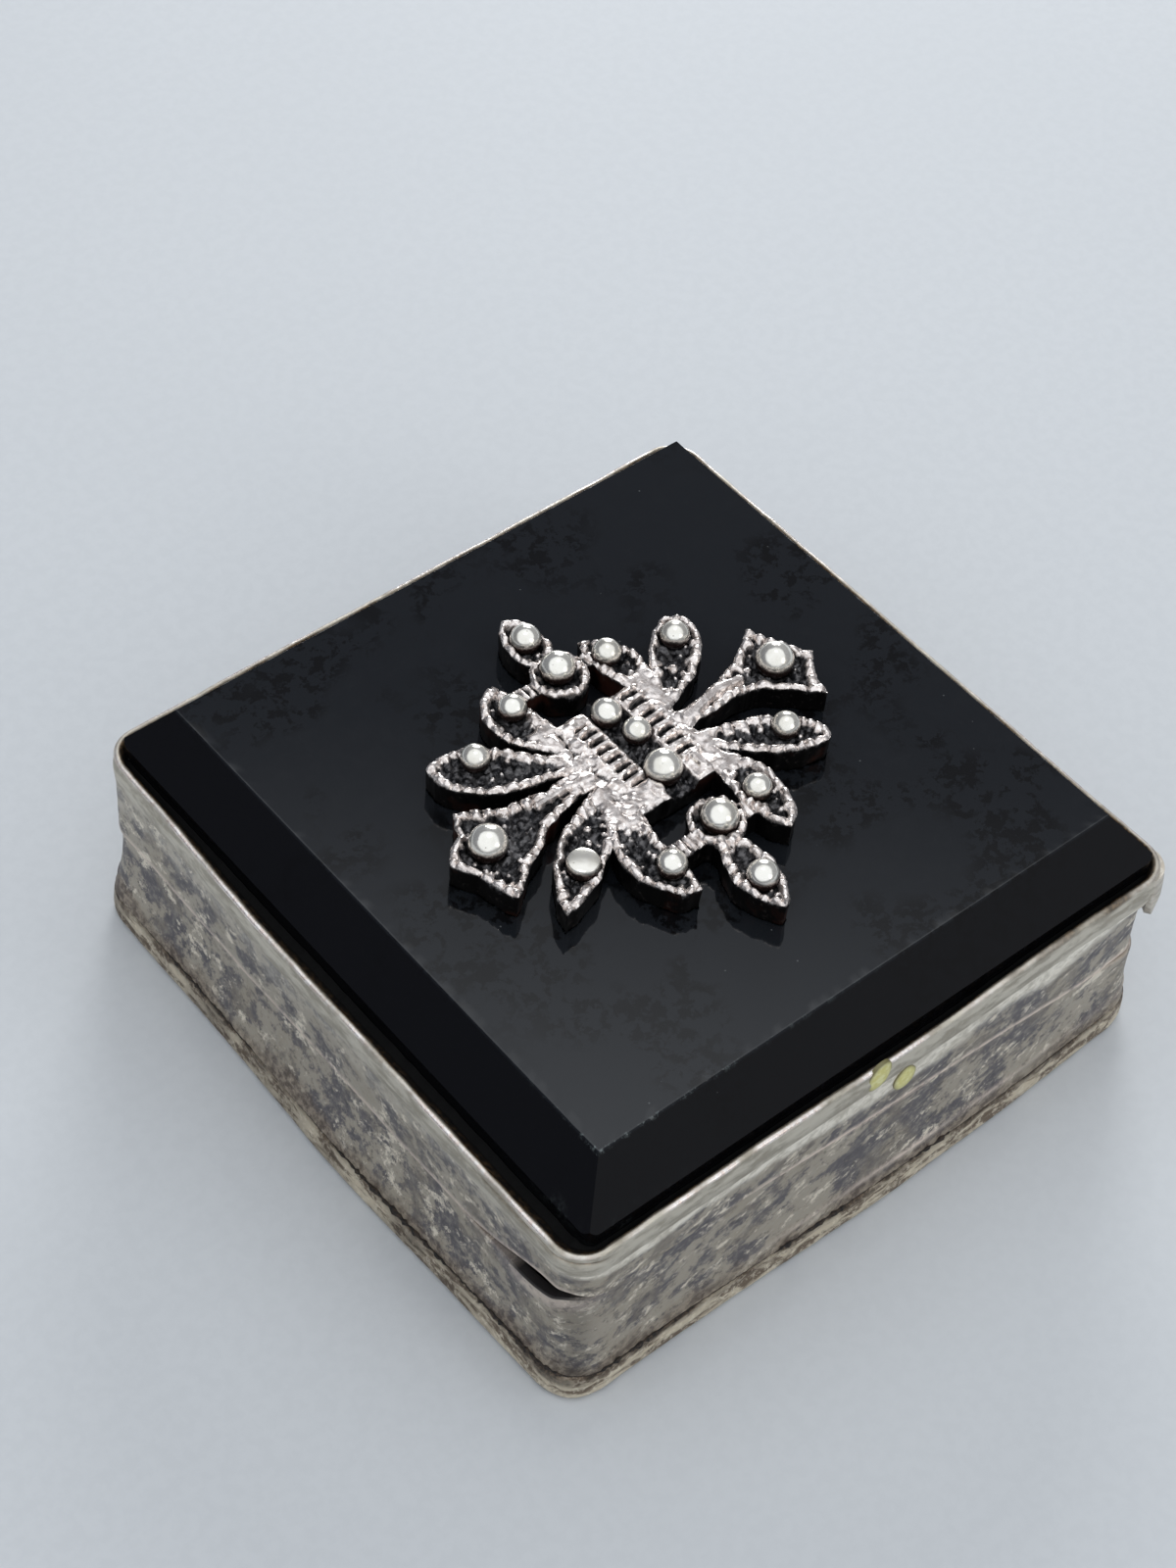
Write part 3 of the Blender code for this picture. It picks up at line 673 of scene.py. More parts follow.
def dirt_look():
    """Black-brown dirt."""
    material, shader, place = new_look("old_dirt")
    specks = grain(place, 5.0, 3.0, 0.6)
    colour = fade(specks, 0.4, 0.66, rgb(0.008, 0.006, 0.005), rgb(0.045, 0.030, 0.020))
    finish_look(shader, colour, 0.0, 0.7, specks, 0.04, 0.8)
    return material


def residue_look():
    """Dried yellow-green residue, darker where it is thick at its edge."""
    material, shader, place = new_look("yellow_residue")
    specks = grain(place, 3.0, 3.0, 0.6)
    body = fade(specks, 0.4, 0.65, rgb(0.62, 0.58, 0.20), rgb(0.74, 0.72, 0.36))
    colour = tint(named_value(place, "edge"), body, rgb(0.20, 0.18, 0.08))
    finish_look(shader, colour, 0.0, 0.42, specks, 0.03, 0.6)
    return material


def floor_look():
    """A pale matt floor with a faint fine grain."""
    material, shader, place = new_look("pale_floor")
    fine = grain(place, 1.6, 3.0, 0.6)
    broad = grain(place, 0.02, 3.0, 0.5)
    colour = fade(fine, 0.35, 0.65, rgb(0.590, 0.614, 0.636), rgb(0.610, 0.634, 0.656))
    colour = fade(broad, 0.4, 0.65, colour, rgb(0.575, 0.599, 0.621), 0.3)
    finish_look(shader, colour, 0.0, 0.62, fine, 0.012, 0.2)
    return material


# --- Foot and walls -------------------------------------------------------------------------------
def make_foot_rim(material):
    """Rounded moulding, dented here and there, with grains of dirt in the joint above it and painted shadow
    on its underside.
    """
    low_round = 0.40
    high_round = 0.25
    profile = rounded_run((FOOT_INNER, 0.0), (FOOT_PROUD - low_round, 0.0), 4)
    profile += quarter_round((FOOT_PROUD - low_round, low_round), low_round, -pi / 2, 0.0, 6)
    profile += rounded_run((FOOT_PROUD, 0.54), (FOOT_PROUD - 0.05, FOOT_TOP - 0.42), 5)
    profile += quarter_round((FOOT_PROUD - 0.30, FOOT_TOP - high_round), high_round, 0.0, pi / 2, 5)
    profile += rounded_run((FOOT_PROUD - 0.40, FOOT_TOP), (FOOT_INNER, FOOT_TOP), 3)
    profile += rounded_run((FOOT_INNER, FOOT_TOP), (FOOT_INNER, 0.0), 4)

    def bend(x, y, way_x, way_y, out, z):
        outer = step(out, FOOT_INNER, FOOT_PROUD - 0.3)
        lifted = step(z, 0.05, 0.6)
        nicks = 0.06 * np.clip(cloud(x / 0.45, y / 0.45, z / 0.5, 36), 0, 1)
        fold = 0.08 * (2 * way_x * way_y) ** 4
        shift = dents(x, y, z, 0.07, 31) - 0.02 - nicks * lifted
        return (shift + fold) * outer, 0.09 * cloud(x / 2, y / 2, 5.0, 33) * lifted

    points = swept(profile, bend, base_lean)
    x, y, z = points.T
    patchy = 0.5 + 0.6 * cloud(x / 1.1, y / 1.1, z, 35)
    joint = step(z, FOOT_TOP - 0.45, FOOT_TOP - 0.05) * (0.35 + patchy)
    # Painted shadow: the bottom 0.3 mm of the foot, next to the floor, is darkened.
    underside = 0.7 * (1 - step(z, 0.0, 0.30))
    near_corner = hump(np.hypot(x + BODY_HALF, y + BODY_HALF - 1.2), 0.0, 1.5)
    hollow = near_corner * step(z, FOOT_TOP - 0.8, FOOT_TOP - 0.4)
    left_side = 0.75 * patchy * step(-x, 14.0, 15.5) * step(y, -12.0, -8.0)
    dirt_and_underside_shade = np.clip(joint, 0, 1)
    for more in (underside, hollow, left_side):
        dirt_and_underside_shade = np.maximum(dirt_and_underside_shade, more)
    return shown("foot_rim", points, swept_faces(profile), material, "base",
                 values={"dirt_and_underside_shade": dirt_and_underside_shade})


def make_joint_dirt(material):
    """Black grains of dirt caught here and there in the joint between the foot and the base wall."""
    centre = (BASE_OUT + BASE_FLARE + 0.03, FOOT_TOP + 0.03)
    profile = quarter_round(centre, 0.10, 0.0, 2 * pi, 6)[:-1]

    def bend(x, y, way_x, way_y, out, z):
        number = np.arange(len(STATIONS))[:, None] + 0 * z
        broad = step(mottling(x, y, 3.2, 132), -0.25, 0.15)
        size = 0.15 + broad * (0.25 + 1.5 * chance(number, 3) ** 2)
        jump = 0.10 * (chance(number, 5) - 0.5)
        return (size - 1) * (out - centre[0]) - 0.03, (size - 1) * (z - centre[1]) + jump

    points = swept(profile, bend, base_lean)
    return new_piece("joint_dirt", points, swept_faces(profile), material, "base", sharp=30)


def make_base_wall(material):
    """Sheet wall that sweeps out to the foot, cut away at the back for the hinge."""
    rows = 28
    outer = []
    for i in range(rows + 1):
        up = i / rows
        z = BASE_WALL_LOW + (SEAM_LOW - BASE_WALL_LOW) * up
        outer.append((BASE_OUT + BASE_FLARE * (1 - up) ** FLARE_POWER, z))
    top = outer.pop()
    outer.append((top[0], top[1] - 0.08))
    outer += [(top[0] - 0.06, top[1]), (top[0] - WALL + 0.06, top[1])]
    inner = [(p[0] - WALL, p[1]) for p in outer[:rows + 1]][::-1]

    def bend(x, y, way_x, way_y, out, z):
        shift = dents(x, y, z, 0.045, 21)
        crease = 0.05 * hump(z, FOOT_TOP + 0.72, 0.10)
        rise = (seam_rise(x, y) - 0.75 * seam_gap(x, y)) * step(z, BASE_WALL_LOW + 0.8, SEAM_LOW)
        return shift + crease, rise + stop_face(y, out + shift, way_y, z, SEAM_LOW, -1.0)

    profile = outer + inner
    points = swept(profile, bend, base_lean)
    x, y, z = points.T
    level = in_profile(profile, 1)
    crease = 0.8 * hump(level, FOOT_TOP + 0.74, 0.13) * step(-y, 14.0, 15.0) * step(x, -9.0, 0.0)
    patchy = 0.75 + 0.6 * mottling(x, y, 2.2, 24)
    lip = 0.35 * step(level, SEAM_LOW - 0.16, SEAM_LOW - 0.06)
    # A darker strip down the near corner, given to the material as dark.
    corner = hump(np.hypot(x + BODY_HALF, y + BODY_HALF), 0.0, 0.8)
    gap = np.clip(4 * seam_gap(x, y), 0, 1)
    shelf = 0.5 * gap * step(level, SEAM_LOW - 0.9, SEAM_LOW - 0.4)
    # Painted shade: the top edge of the base wall inside the seam gap is made near black.
    gap = gap * step(level, SEAM_LOW - 0.14, SEAM_LOW - 0.07)
    rubbed = (np.clip(crease * patchy, 0, 0.9) + np.maximum(lip, shelf)) * (1 - gap)
    wall = shown("base_wall", points, swept_faces(profile), material, "base",
                 values={"rubbed": rubbed, "pale": 0 * x, "dark": np.maximum(0.6 * corner, gap)})
    cut(wall, (-NOTCH_HALF, HINGE_Y - NOTCH_DEPTH, HINGE_Z - NOTCH_ROOM),
        (NOTCH_HALF, HINGE_Y + NOTCH_DEPTH, HINGE_Z + NOTCH_HEIGHT))
    return wall


def make_lid_wall(material):
    """Sheet wall of the lid. Its lower edge is rubbed bright along the front."""
    rows = 14
    outer = [(-0.07, SEAM_HIGH), (-0.01, SEAM_HIGH + 0.03), (0.03, SEAM_HIGH + 0.09)]
    outer += rounded_run((0.02, SEAM_HIGH + 0.17), (0.0, LID_WALL_TOP), rows) + [(0.0, LID_WALL_TOP)]
    inner = rounded_run((-WALL, LID_WALL_TOP), (-WALL, SEAM_HIGH + 0.05), rows)
    inner += [(-WALL, SEAM_HIGH + 0.05), (-WALL + 0.05, SEAM_HIGH)]

    def bend(x, y, way_x, way_y, out, z):
        shift, lift = lid_bend(x, y, way_x, way_y, out, z)
        return shift, lift + stop_face(y, out + shift, way_y, z, SEAM_HIGH, 1.0)

    profile = outer + inner
    points = swept(profile, bend, lid_lean)
    x, y, z = points.T
    level = in_profile(profile, 1)
    front = step(-y, 14.6, 15.3)
    side_share = 0.35 + 0.35 * step(-x, 12.0, 15.0)
    along = 0.95 * front * step(x, -9.0, -5.0) + side_share * (1 - front)
    rubbed = along * (1 - step(level, SEAM_HIGH + 0.13, SEAM_HIGH + 0.26))
    reach = 1.15 + 0.75 * mottling(x, y, 3.0, 26) + 0.35 * cloud(x / 0.9, y / 0.9, level / 0.9, 27)
    pale = (0.25 + 0.75 * front) * step(level, LID_WALL_TOP - reach - 0.35, LID_WALL_TOP - reach + 0.45)
    wall = shown("lid_wall", points, swept_faces(profile), material, "lid",
                 values={"rubbed": rubbed, "pale": np.clip(pale, 0, 1), "dark": 0 * x})
    cut(wall, (-NOTCH_HALF, HINGE_Y - NOTCH_DEPTH, HINGE_Z - NOTCH_HEIGHT),
        (NOTCH_HALF, HINGE_Y + NOTCH_DEPTH, HINGE_Z + NOTCH_ROOM))
    return wall


def make_bezel(material):
    """Thin strip round the stone. Its rim is burnished over and wavy, and it has split along the left
    of the near corner. Its end, lapped over the right corner, is a separate piece made by make_lapped_end."""
    outer_out = BEZEL_PROUD
    inner_out = BEZEL_PROUD - BEZEL_THICKNESS
    round_rim = BEZEL_THICKNESS / 2
    middle = outer_out - round_rim
    profile = rounded_run((outer_out, LID_WALL_TOP), (outer_out, RIM - 0.62), 5)
    profile += rounded_run((outer_out, RIM - 0.62), (outer_out, RIM - round_rim), 9)
    profile += quarter_round((middle, RIM - round_rim), round_rim, 0.0, pi, 12)
    profile += rounded_run((inner_out, RIM - round_rim - 0.10), (inner_out, LID_WALL_TOP), 5)
    profile += [(inner_out, LID_WALL_TOP)]

    def split(x, y):
        return step(-x, 14.0, 15.2) * step(-y, 8.0, 12.5)

    def bend(x, y, way_x, way_y, out, z):
        shift, lift = lid_bend(x, y, way_x, way_y, out, z)
        wave = 0.035 * cloud(x / 2.2, y / 2.2, 3.0, 41) + 0.015 * cloud(x / 0.6, y / 0.6, 3.0, 42)
        outside = step(out, inner_out, outer_out)
        groove = -0.13 * split(x, y) * hump(z, RIM - 0.40, 0.07)
        belly = 0.05 * hump(z, RIM - 0.75, 0.30)
        return shift + (groove + belly) * outside, lift + wave * step(z, RIM - 0.6, RIM)

    points = swept(profile, bend, lid_lean)
    x, y, height = points.T
    out = in_profile(profile, 0)
    z = in_profile(profile, 1)
    tarnished = step(-y, 14.0, 15.0) * step(x, 1.5, 6.0)
    patchy = (0.70 + 1.00 * cloud(x / 1.1, y / 1.1, height, 44)) * (1 - 0.8 * tarnished)
    rubbed = step(z, RIM - 0.16, RIM - 0.05) * step(out, middle - 0.02, middle + 0.05) * patchy
    inner_stain = (1 - step(out, middle - 0.09, middle + 0.01)) * (0.85 + 0.4 * cloud(x, y, 0, 45))
    crack = 0.9 * split(x, y) * hump(z, RIM - 0.40, 0.06) * step(out, middle, outer_out)
    brown_spots = np.clip(0.2 + 1.2 * mottling(x, y, 0.8, 46), 0, 1)
    spotted = 0.8 * tarnished * brown_spots * step(z, RIM - 0.30, RIM - 0.08)
    stain = np.maximum(inner_stain, np.maximum(crack, spotted))
    return shown("bezel", points, swept_faces(profile), material, "lid",
                 values={"rubbed": np.clip(rubbed, 0, 1), "stain": np.clip(stain, 0, 1)})


def make_lapped_end(material):
    """The bezel strip's free end, lapped over the right corner and standing off it a little."""
    columns = 22
    rows = 18
    reach = BODY_HALF - CORNER_RADIUS
    points = []
    for layer in (0, 1):
        for i in range(columns + 1):
            for j in range(rows + 1):
                along = i / columns
                down = j / rows
                angle = -pi / 2 + pi * (0.06 + 0.52 * along)
                tongue = 1 - (2 * along - 1) ** 4
                length = 0.6 + 2.7 * tongue * (0.75 + 0.25 * along)
                z = RIM - 0.16 - 0.25 * along - length * down
                swell = 0.26 * sin(pi * along) ** 0.7 * (0.5 + 0.9 * sin(pi * min(down * 0.8 + 0.1, 1.0)))
                ripple = 0.03 * float(cloud(along * 5, down * 4, 0, 141))
                out = BEZEL_PROUD + (0.02 + swell + ripple if layer else -0.10)
                radius = CORNER_RADIUS + out
                points.append((reach + radius * cos(angle), -reach + radius * sin(angle), z))
    side = (columns + 1) * (rows + 1)
    faces = []
    for layer in (0, 1):
        for i in range(columns):
            for j in range(rows):
                k = layer * side + i * (rows + 1) + j
                faces.append((k, k + rows + 1, k + rows + 2, k + 1))
    edge = [i * (rows + 1) for i in range(columns + 1)]
    edge += [columns * (rows + 1) + j for j in range(1, rows + 1)]
    edge += [i * (rows + 1) + rows for i in range(columns - 1, -1, -1)]
    edge += [j for j in range(rows - 1, 0, -1)]
    for a, b in zip(edge, edge[1:] + edge[:1]):
        faces.append((a, b, b + side, a + side))
    count = len(points)
    return new_piece("lapped_end", points, faces, material, "lid", sharp=60,
                     values={"rubbed": np.full(count, 0.15), "stain": np.zeros(count)})


def make_cement(material):
    """Cement that fills the space between the stone and the bezel."""
    inner = STONE_HALF - BODY_HALF + 0.02
    outer = BEZEL_PROUD - BEZEL_THICKNESS
    top = RIM - 0.26
    bottom = RIM_LOW + 0.05
    profile = [(inner, bottom), (outer, bottom), (outer, top + 0.06), ((inner + outer) / 2, top - 0.16),
               (inner, top - 0.02)]

    def bend(x, y, way_x, way_y, out, z):
        shift, lift = lid_bend(x, y, way_x, way_y, out, z)
        share = step(out, inner, outer)
        lumps = 0.05 * cloud(x / 0.7, y / 0.7, z, 51) + 0.03 * cloud(x / 0.25, y / 0.25, z, 52)
        return (shift + 0.01) * share, (lift + lumps) * step(z, RIM_LOW + 0.1, top - 0.2)

    def lean(x, y, z):
        shift_x, shift_y = lid_lean(x, y, z)
        share = np.array([step(p[0], inner, outer) for p in profile])[None, :]
        return shift_x * share, shift_y * share

    points = swept(profile, bend, lean)
    near_rim = np.tile([step(p[0], inner + 0.12, outer) for p in profile], len(STATIONS))
    return new_piece("stone_cement", points, swept_faces(profile), material, "lid",
                     values={"near_rim": near_rim})


# --- Stone ----------------------------------------------------------------------------------------
def make_stone(material):
    """Table, four bevels that meet in sharp lines, and a straight girdle. The table's edges have
    worn pale close to the near corner."""
    per_side = 180
    steps = 12
    corner = 0.55
    blunt = 0.05
    slope = (STONE_TOP - GIRDLE_TOP) / (STONE_HALF - TABLE_HALF)
    girdle = []
    table = []
    for quarter in range(4):
        turn = Matrix.Rotation(quarter * pi / 2, 2)
        for i in range(per_side):
            share = 2 * i / per_side - 1
            girdle.append(turn @ Vector((STONE_HALF, share * (STONE_HALF - corner))))
            table.append(turn @ Vector((TABLE_HALF, share * (TABLE_HALF - blunt))))
        for i in range(steps):
            angle = pi / 2 * i / steps
            girdle.append(turn @ Vector((STONE_HALF - corner + corner * cos(angle),
                                         STONE_HALF - corner + corner * sin(angle))))
            share = 2 * i / steps
            table.append(turn @ Vector((TABLE_HALF - blunt * max(share - 1, 0),
                                        TABLE_HALF - blunt * max(1 - share, 0))))
    girdle = np.array(girdle)
    table = np.array(table)
    count = len(girdle)
    rings = [np.column_stack([girdle * 0.996, np.full(count, STONE_LOW)]),
             np.column_stack([girdle, np.full(count, STONE_LOW + 0.08)])]
    for share in (0.0, 0.02, 0.2, 0.4, 0.6, 0.8, 0.93, 0.975):
        plan = girdle + (table - girdle) * share
        inward = STONE_HALF - np.abs(plan).max(axis=1)
        rings.append(np.column_stack([plan, GIRDLE_TOP + inward * slope]))
    for inset, drop in ((0.0, 0.003), (0.025, 0.0), (0.07, 0.0), (0.4, 0.0)):
        rings.append(np.column_stack([table * (1 - inset / TABLE_HALF), np.full(count, STONE_TOP - drop)]))
    points = np.concatenate(rings)
    arris = np.repeat([0, 0, 0.25, 0.1, 0, 0, 0, 0, 0.0, 0.55, 1.0, 0.7, 0.0, 0.0], count)
    from_left = np.abs(points[:, 0] + TABLE_HALF)
    from_front = np.abs(points[:, 1] + TABLE_HALF)
    nearness = np.exp(-from_left / 6.0 - from_front / 0.9)
    nearness = np.maximum(nearness, np.exp(-from_front / 1.6 - from_left / 0.9))
    chips = np.clip(mottling(points[:, 0], points[:, 1], 0.30, 61) - 0.15, 0, 1)
    points[:, 2] -= 0.05 * chips * arris * (0.3 + 0.7 * nearness)
    faces = loop_faces(len(rings), count, closed=False)
    faces.append(tuple(range(count))[::-1])
    faces.append(tuple((len(rings) - 1) * count + i for i in range(count)))
    return shown("onyx", points, faces, material, "lid", sharp=20,
                 values={"arris": arris * np.clip(1.2 * nearness - 0.03, 0, 1)})


# --- Spray ----------------------------------------------------------------------------------------
GRID = 0.058
GRID_LEFT = -10.5
GRID_RIGHT = 9.5
GRID_FRONT = 10.1
GRID_DEPTH = 19.2
PETAL_STEPS = 22
FLOOR_DEPTH = 0.40
RIM_WIDTH = 0.38
FAR_AWAY = -9.0


def petal_outline(root, bend, tip, root_half, belly_half, belly_at, bluntness):
    """A leaf shape about a bent middle line, anticlockwise."""
    root = Vector(root)
    bend = Vector(bend)
    tip = Vector(tip)
    left = []
    right = []
    for i in range(PETAL_STEPS):
        t = i / PETAL_STEPS
        middle = root * (1 - t) ** 2 + bend * 2 * t * (1 - t) + tip * t ** 2
        along = ((bend - root) * (1 - t) + (tip - bend) * t).normalized()
        across = Vector((-along.y, along.x))
        if t < belly_at:
            swell = (1 - cos(pi * t / belly_at)) / 2
            half = root_half + (belly_half - root_half) * swell
        else:
            fall = (t - belly_at) / (1 - belly_at)
            half = belly_half * (1 - fall ** 2) ** bluntness
        left.append(middle + across * half)
        right.append(middle - across * half)
    return right + [tip] + left[::-1]


def hollowed(outline, sag):
    """The same corners with each edge bent inwards a little, as between the points of a star."""
    result = []
    for a, b in zip(outline, outline[1:] + outline[:1]):
        a = Vector(a)
        b = Vector(b)
        inward = Vector((-(b - a).y, (b - a).x)).normalized()
        for i in range(4):
            t = i / 4
            result.append(a.lerp(b, t) + inward * sag * (b - a).length * 4 * t * (1 - t))
    return result


def edge_distance(a, edge, x, y):
    """The share of the edge from a at which it is nearest to each point, and the distance there."""
    t = np.clip(((x - a.x) * edge.x + (y - a.y) * edge.y) / edge.length_squared, 0, 1)
    return t, np.hypot(x - a.x - t * edge.x, y - a.y - t * edge.y)


def outline_field(outline, x, y):
    """How far inside the outline each point is, and how far along it the nearest place is."""
    outline = [Vector(p) for p in outline]
    depth = np.full(x.shape, FAR_AWAY)
    along = np.zeros(x.shape)
    xs = [p.x for p in outline]
    ys = [p.y for p in outline]
    near = (x > min(xs) - 1) & (x < max(xs) + 1) & (y > min(ys) - 1) & (y < max(ys) + 1)
    px = x[near]
    py = y[near]
    best = np.full(px.shape, -FAR_AWAY)
    way = np.zeros(px.shape)
    inside = np.zeros(px.shape, bool)
    start = 0.0
    for a, b in zip(outline, outline[1:] + outline[:1]):
        edge = b - a
        t, distance = edge_distance(a, edge, px, py)
        closer = distance < best
        best = np.where(closer, distance, best)
        way = np.where(closer, start + t * edge.length, way)
        if edge.y:
            crossing = a.x + (py - a.y) * edge.x / edge.y
            inside ^= ((a.y > py) != (b.y > py)) & (px < crossing)
        start += edge.length
    depth[near] = np.where(inside, best, -best)
    along[near] = way
    return depth, along


def circle_field(centre, radius, x, y):
    """The same two measures for a circle."""
    depth = radius - np.hypot(x - centre[0], y - centre[1])
    along = np.arctan2(y - centre[1], x - centre[0]) * radius
    return depth, along


def box_field(low_corner, high_corner, x, y):
    """How far inside a box each point is."""
    return np.minimum(np.minimum(x - low_corner[0], high_corner[0] - x),
                      np.minimum(y - low_corner[1], high_corner[1] - y))


def line_distance(points, x, y):
    """Distance to a bent line."""
    best = np.full(x.shape, -FAR_AWAY)
    for a, b in zip(points, points[1:]):
        best = np.minimum(best, edge_distance(Vector(a), Vector(b) - Vector(a), x, y)[1])
    return best


def cell_relief(depth, along, x, y, seed):
    """A nicked rim round a sunk floor with cast crumbs on it."""
    beat = along / 0.52 + 0.60 * cloud(along / 1.3, seed, 0.0, seed)
    block = np.abs(np.sin(pi * beat)) ** 0.4
    size = chance(np.floor(beat), seed)
    width = RIM_WIDTH * (0.92 + 0.25 * size + 0.35 * mottling(x, y, 0.6, seed))
    rim = 1 - step(depth, width * 0.60, width * 1.25)
    crest = 0.13 - 0.34 * (1 - block) * (0.15 + 1.00 * size) + 0.10 * mottling(x, y, 0.8, seed + 7)
    crest = crest - 0.12 * (1 - step(depth, 0.0, 0.12))
    crumb = 1 - step(crumbs(x, y, 0.46, seed), 0.08, 0.55)
    floor = -FLOOR_DEPTH + 0.33 * crumb * (0.4 + 0.6 * chance(np.floor(x / 0.6), np.floor(y / 0.6), seed))
    floor = floor + 0.15 * block * (1 - step(depth, width, width + 0.35)) + 0.05 * mottling(x, y, 0.2, seed)
    return rim * crest + (1 - rim) * floor


def rib_column(x, y, centre, half, start, end, pitch, seed):
    """Rungs across a narrow column: 1 on the column and its relief."""
    aside = np.abs(x - centre)
    on = 1 - step(aside, half * 0.8, half * 1.15)
    on = on * step(y, start, start + 0.15) * (1 - step(y, end - 0.15, end))
    beat = (y - start) / pitch + 0.12 * mottling(x, y, 0.6, seed)
    groove = step(np.abs(beat - np.floor(beat) - 0.5), 0.16, 0.40)
    ends = step(aside, half * 0.55, half * 0.95)
    return on, 0.14 - (0.44 - 0.26 * ends) * groove + 0.05 * mottling(x, y, 0.3, seed + 1)


def middle_relief(x, y):
    """Two ribbed columns with worn bands beside them, and a sunk strip between for three beads."""
    height = 0.02 + 0.05 * mottling(x, y, 0.6, 71) + 0.03 * mottling(x, y, 0.25, 72)
    rough_band = 1 - step(x, -2.0, -1.5)
    pits = step(crumbs(x, y, 0.62, 74), 0.55, 0.80)
    height = height + rough_band * (0.10 * mottling(x, y, 0.4, 73) - 0.22 * pits)
    strip = step(x, -0.95, -0.70) * (1 - step(x, 0.40, 0.62))
    height = height - strip * (0.40 - 0.20 * (1 - step(crumbs(x, y, 0.36, 75), 0.1, 0.5)))
    for column in RIB_COLUMNS:
        on, relief = rib_column(x, y, *column)
        height = height * (1 - on) + relief * on
    return height


def spray_fields():
    """The grid, how far inside the casting each point is, and the height of its top there."""
    rows = int(GRID_DEPTH / GRID)
    x = np.arange(GRID_LEFT, GRID_RIGHT, GRID)[:, None] + np.zeros((1, rows))
    y = np.arange(rows)[None, :] * GRID - GRID_FRONT + np.zeros((x.shape[0], 1))
    x = x + 0.3 * GRID * cloud(x * 3, y * 3, 0, 1)
    wobble_x = x + 0.045 * mottling(x, y, 0.45, 2)
    wobble_y = y + 0.045 * mottling(x, y, 0.45, 3)
    depth = np.full(x.shape, FAR_AWAY)
    top = np.full(x.shape, -FLOOR_DEPTH)
    shapes = [petal_outline(*petal) for petal in PETALS]
    shapes += [hollowed(list(LEFT_FLARE)[::-1], 0.05), hollowed(list(RIGHT_FLARE), 0.05)]
    fields = [outline_field(shape, wobble_x, wobble_y) for shape in shapes]
    fields += [circle_field(centre, radius, wobble_x, wobble_y) for centre, radius in FLOWERS]
    for number, (inside, along) in enumerate(fields):
        inside = inside + 0.05 * cloud(along / 0.40, number, 0, 8)
        relief = cell_relief(inside, along, x, y, number + 5)
        taking = inside > 0
        both = taking & (depth > 0)
        top = np.where(both, np.maximum(top, relief), np.where(taking, relief, top))
        outside = (depth <= 0) & (inside > depth)
        top = np.where(outside & ~taking, relief, top)
        depth = np.maximum(depth, inside)
    for corners in BRIDGES:
        inside = box_field(*corners, wobble_x, wobble_y)
        relief = -0.16 + 0.18 * np.abs(np.sin(pi * x / 0.33)) + 0.05 * mottling(x, y, 0.3, 81)
        bare = (inside > 0) & (depth <= 0)
        top = np.where(bare, relief, top)
        depth = np.maximum(depth, inside)
    inside = box_field(*MIDDLE, wobble_x, wobble_y)
    neck = 1 - step(-inside, 0.10, 0.95)
    solid = 0.04 + 0.07 * mottling(x, y, 0.9, 83) - 0.14 * (1 - step(depth, 0.0, 0.16))
    top = top * (1 - neck) + solid * neck
    share = step(inside, 0.0, 0.28)
    body = middle_relief(x, y) - 0.08 * (1 - step(inside, 0.0, 0.15))
    top = np.where(depth > 0, top * (1 - share) + body * share, body)
    depth = np.maximum(depth, inside)
    for spot_x, spot_y, radius, rise in KNOBS:
        share = 1 - step(np.hypot(x - spot_x, y - spot_y), radius * 0.45, radius)
        top = top + np.clip(rise - FLOOR_DEPTH + 0.05 - top, 0, None) * share
    for points, half, rise in BARS:
        share = 1 - step(line_distance(points, x, y), half * 0.55, half)
        top = top * (1 - share) + rise * share
    for _, bead_x, bead_y, radius in BEADS:
        gap = radius + 0.02
        across = np.hypot(x - bead_x, y - bead_y)
        under = BEAD_LIFT - np.sqrt(np.clip(gap ** 2 - across ** 2, 0, None))
        top = np.where(across < gap, np.minimum(top, under), top)
    return x, y, depth, top


def contour_cells(field):
    """Grid cells inside the zero line of a field. Corners are named by grid place, and points on
    the line by the pair of grid places either side."""
    inside = field > 0
    polygons = []
    touched = inside[:-1, :-1] | inside[1:, :-1] | inside[1:, 1:] | inside[:-1, 1:]
    for i, j in zip(*np.nonzero(touched)):
        ring = ((i, j), (i + 1, j), (i + 1, j + 1), (i, j + 1))
        if all(inside[c] for c in ring):
            polygons.append(ring)
            continue
        polygon = []
        for a, b in zip(ring, ring[1:] + ring[:1]):
            if inside[a]:
                polygon.append(a)
            if inside[a] != inside[b]:
                polygon.append((min(a, b), max(a, b)))
        if len(polygon) > 2:
            polygons.append(tuple(polygon))
    return polygons


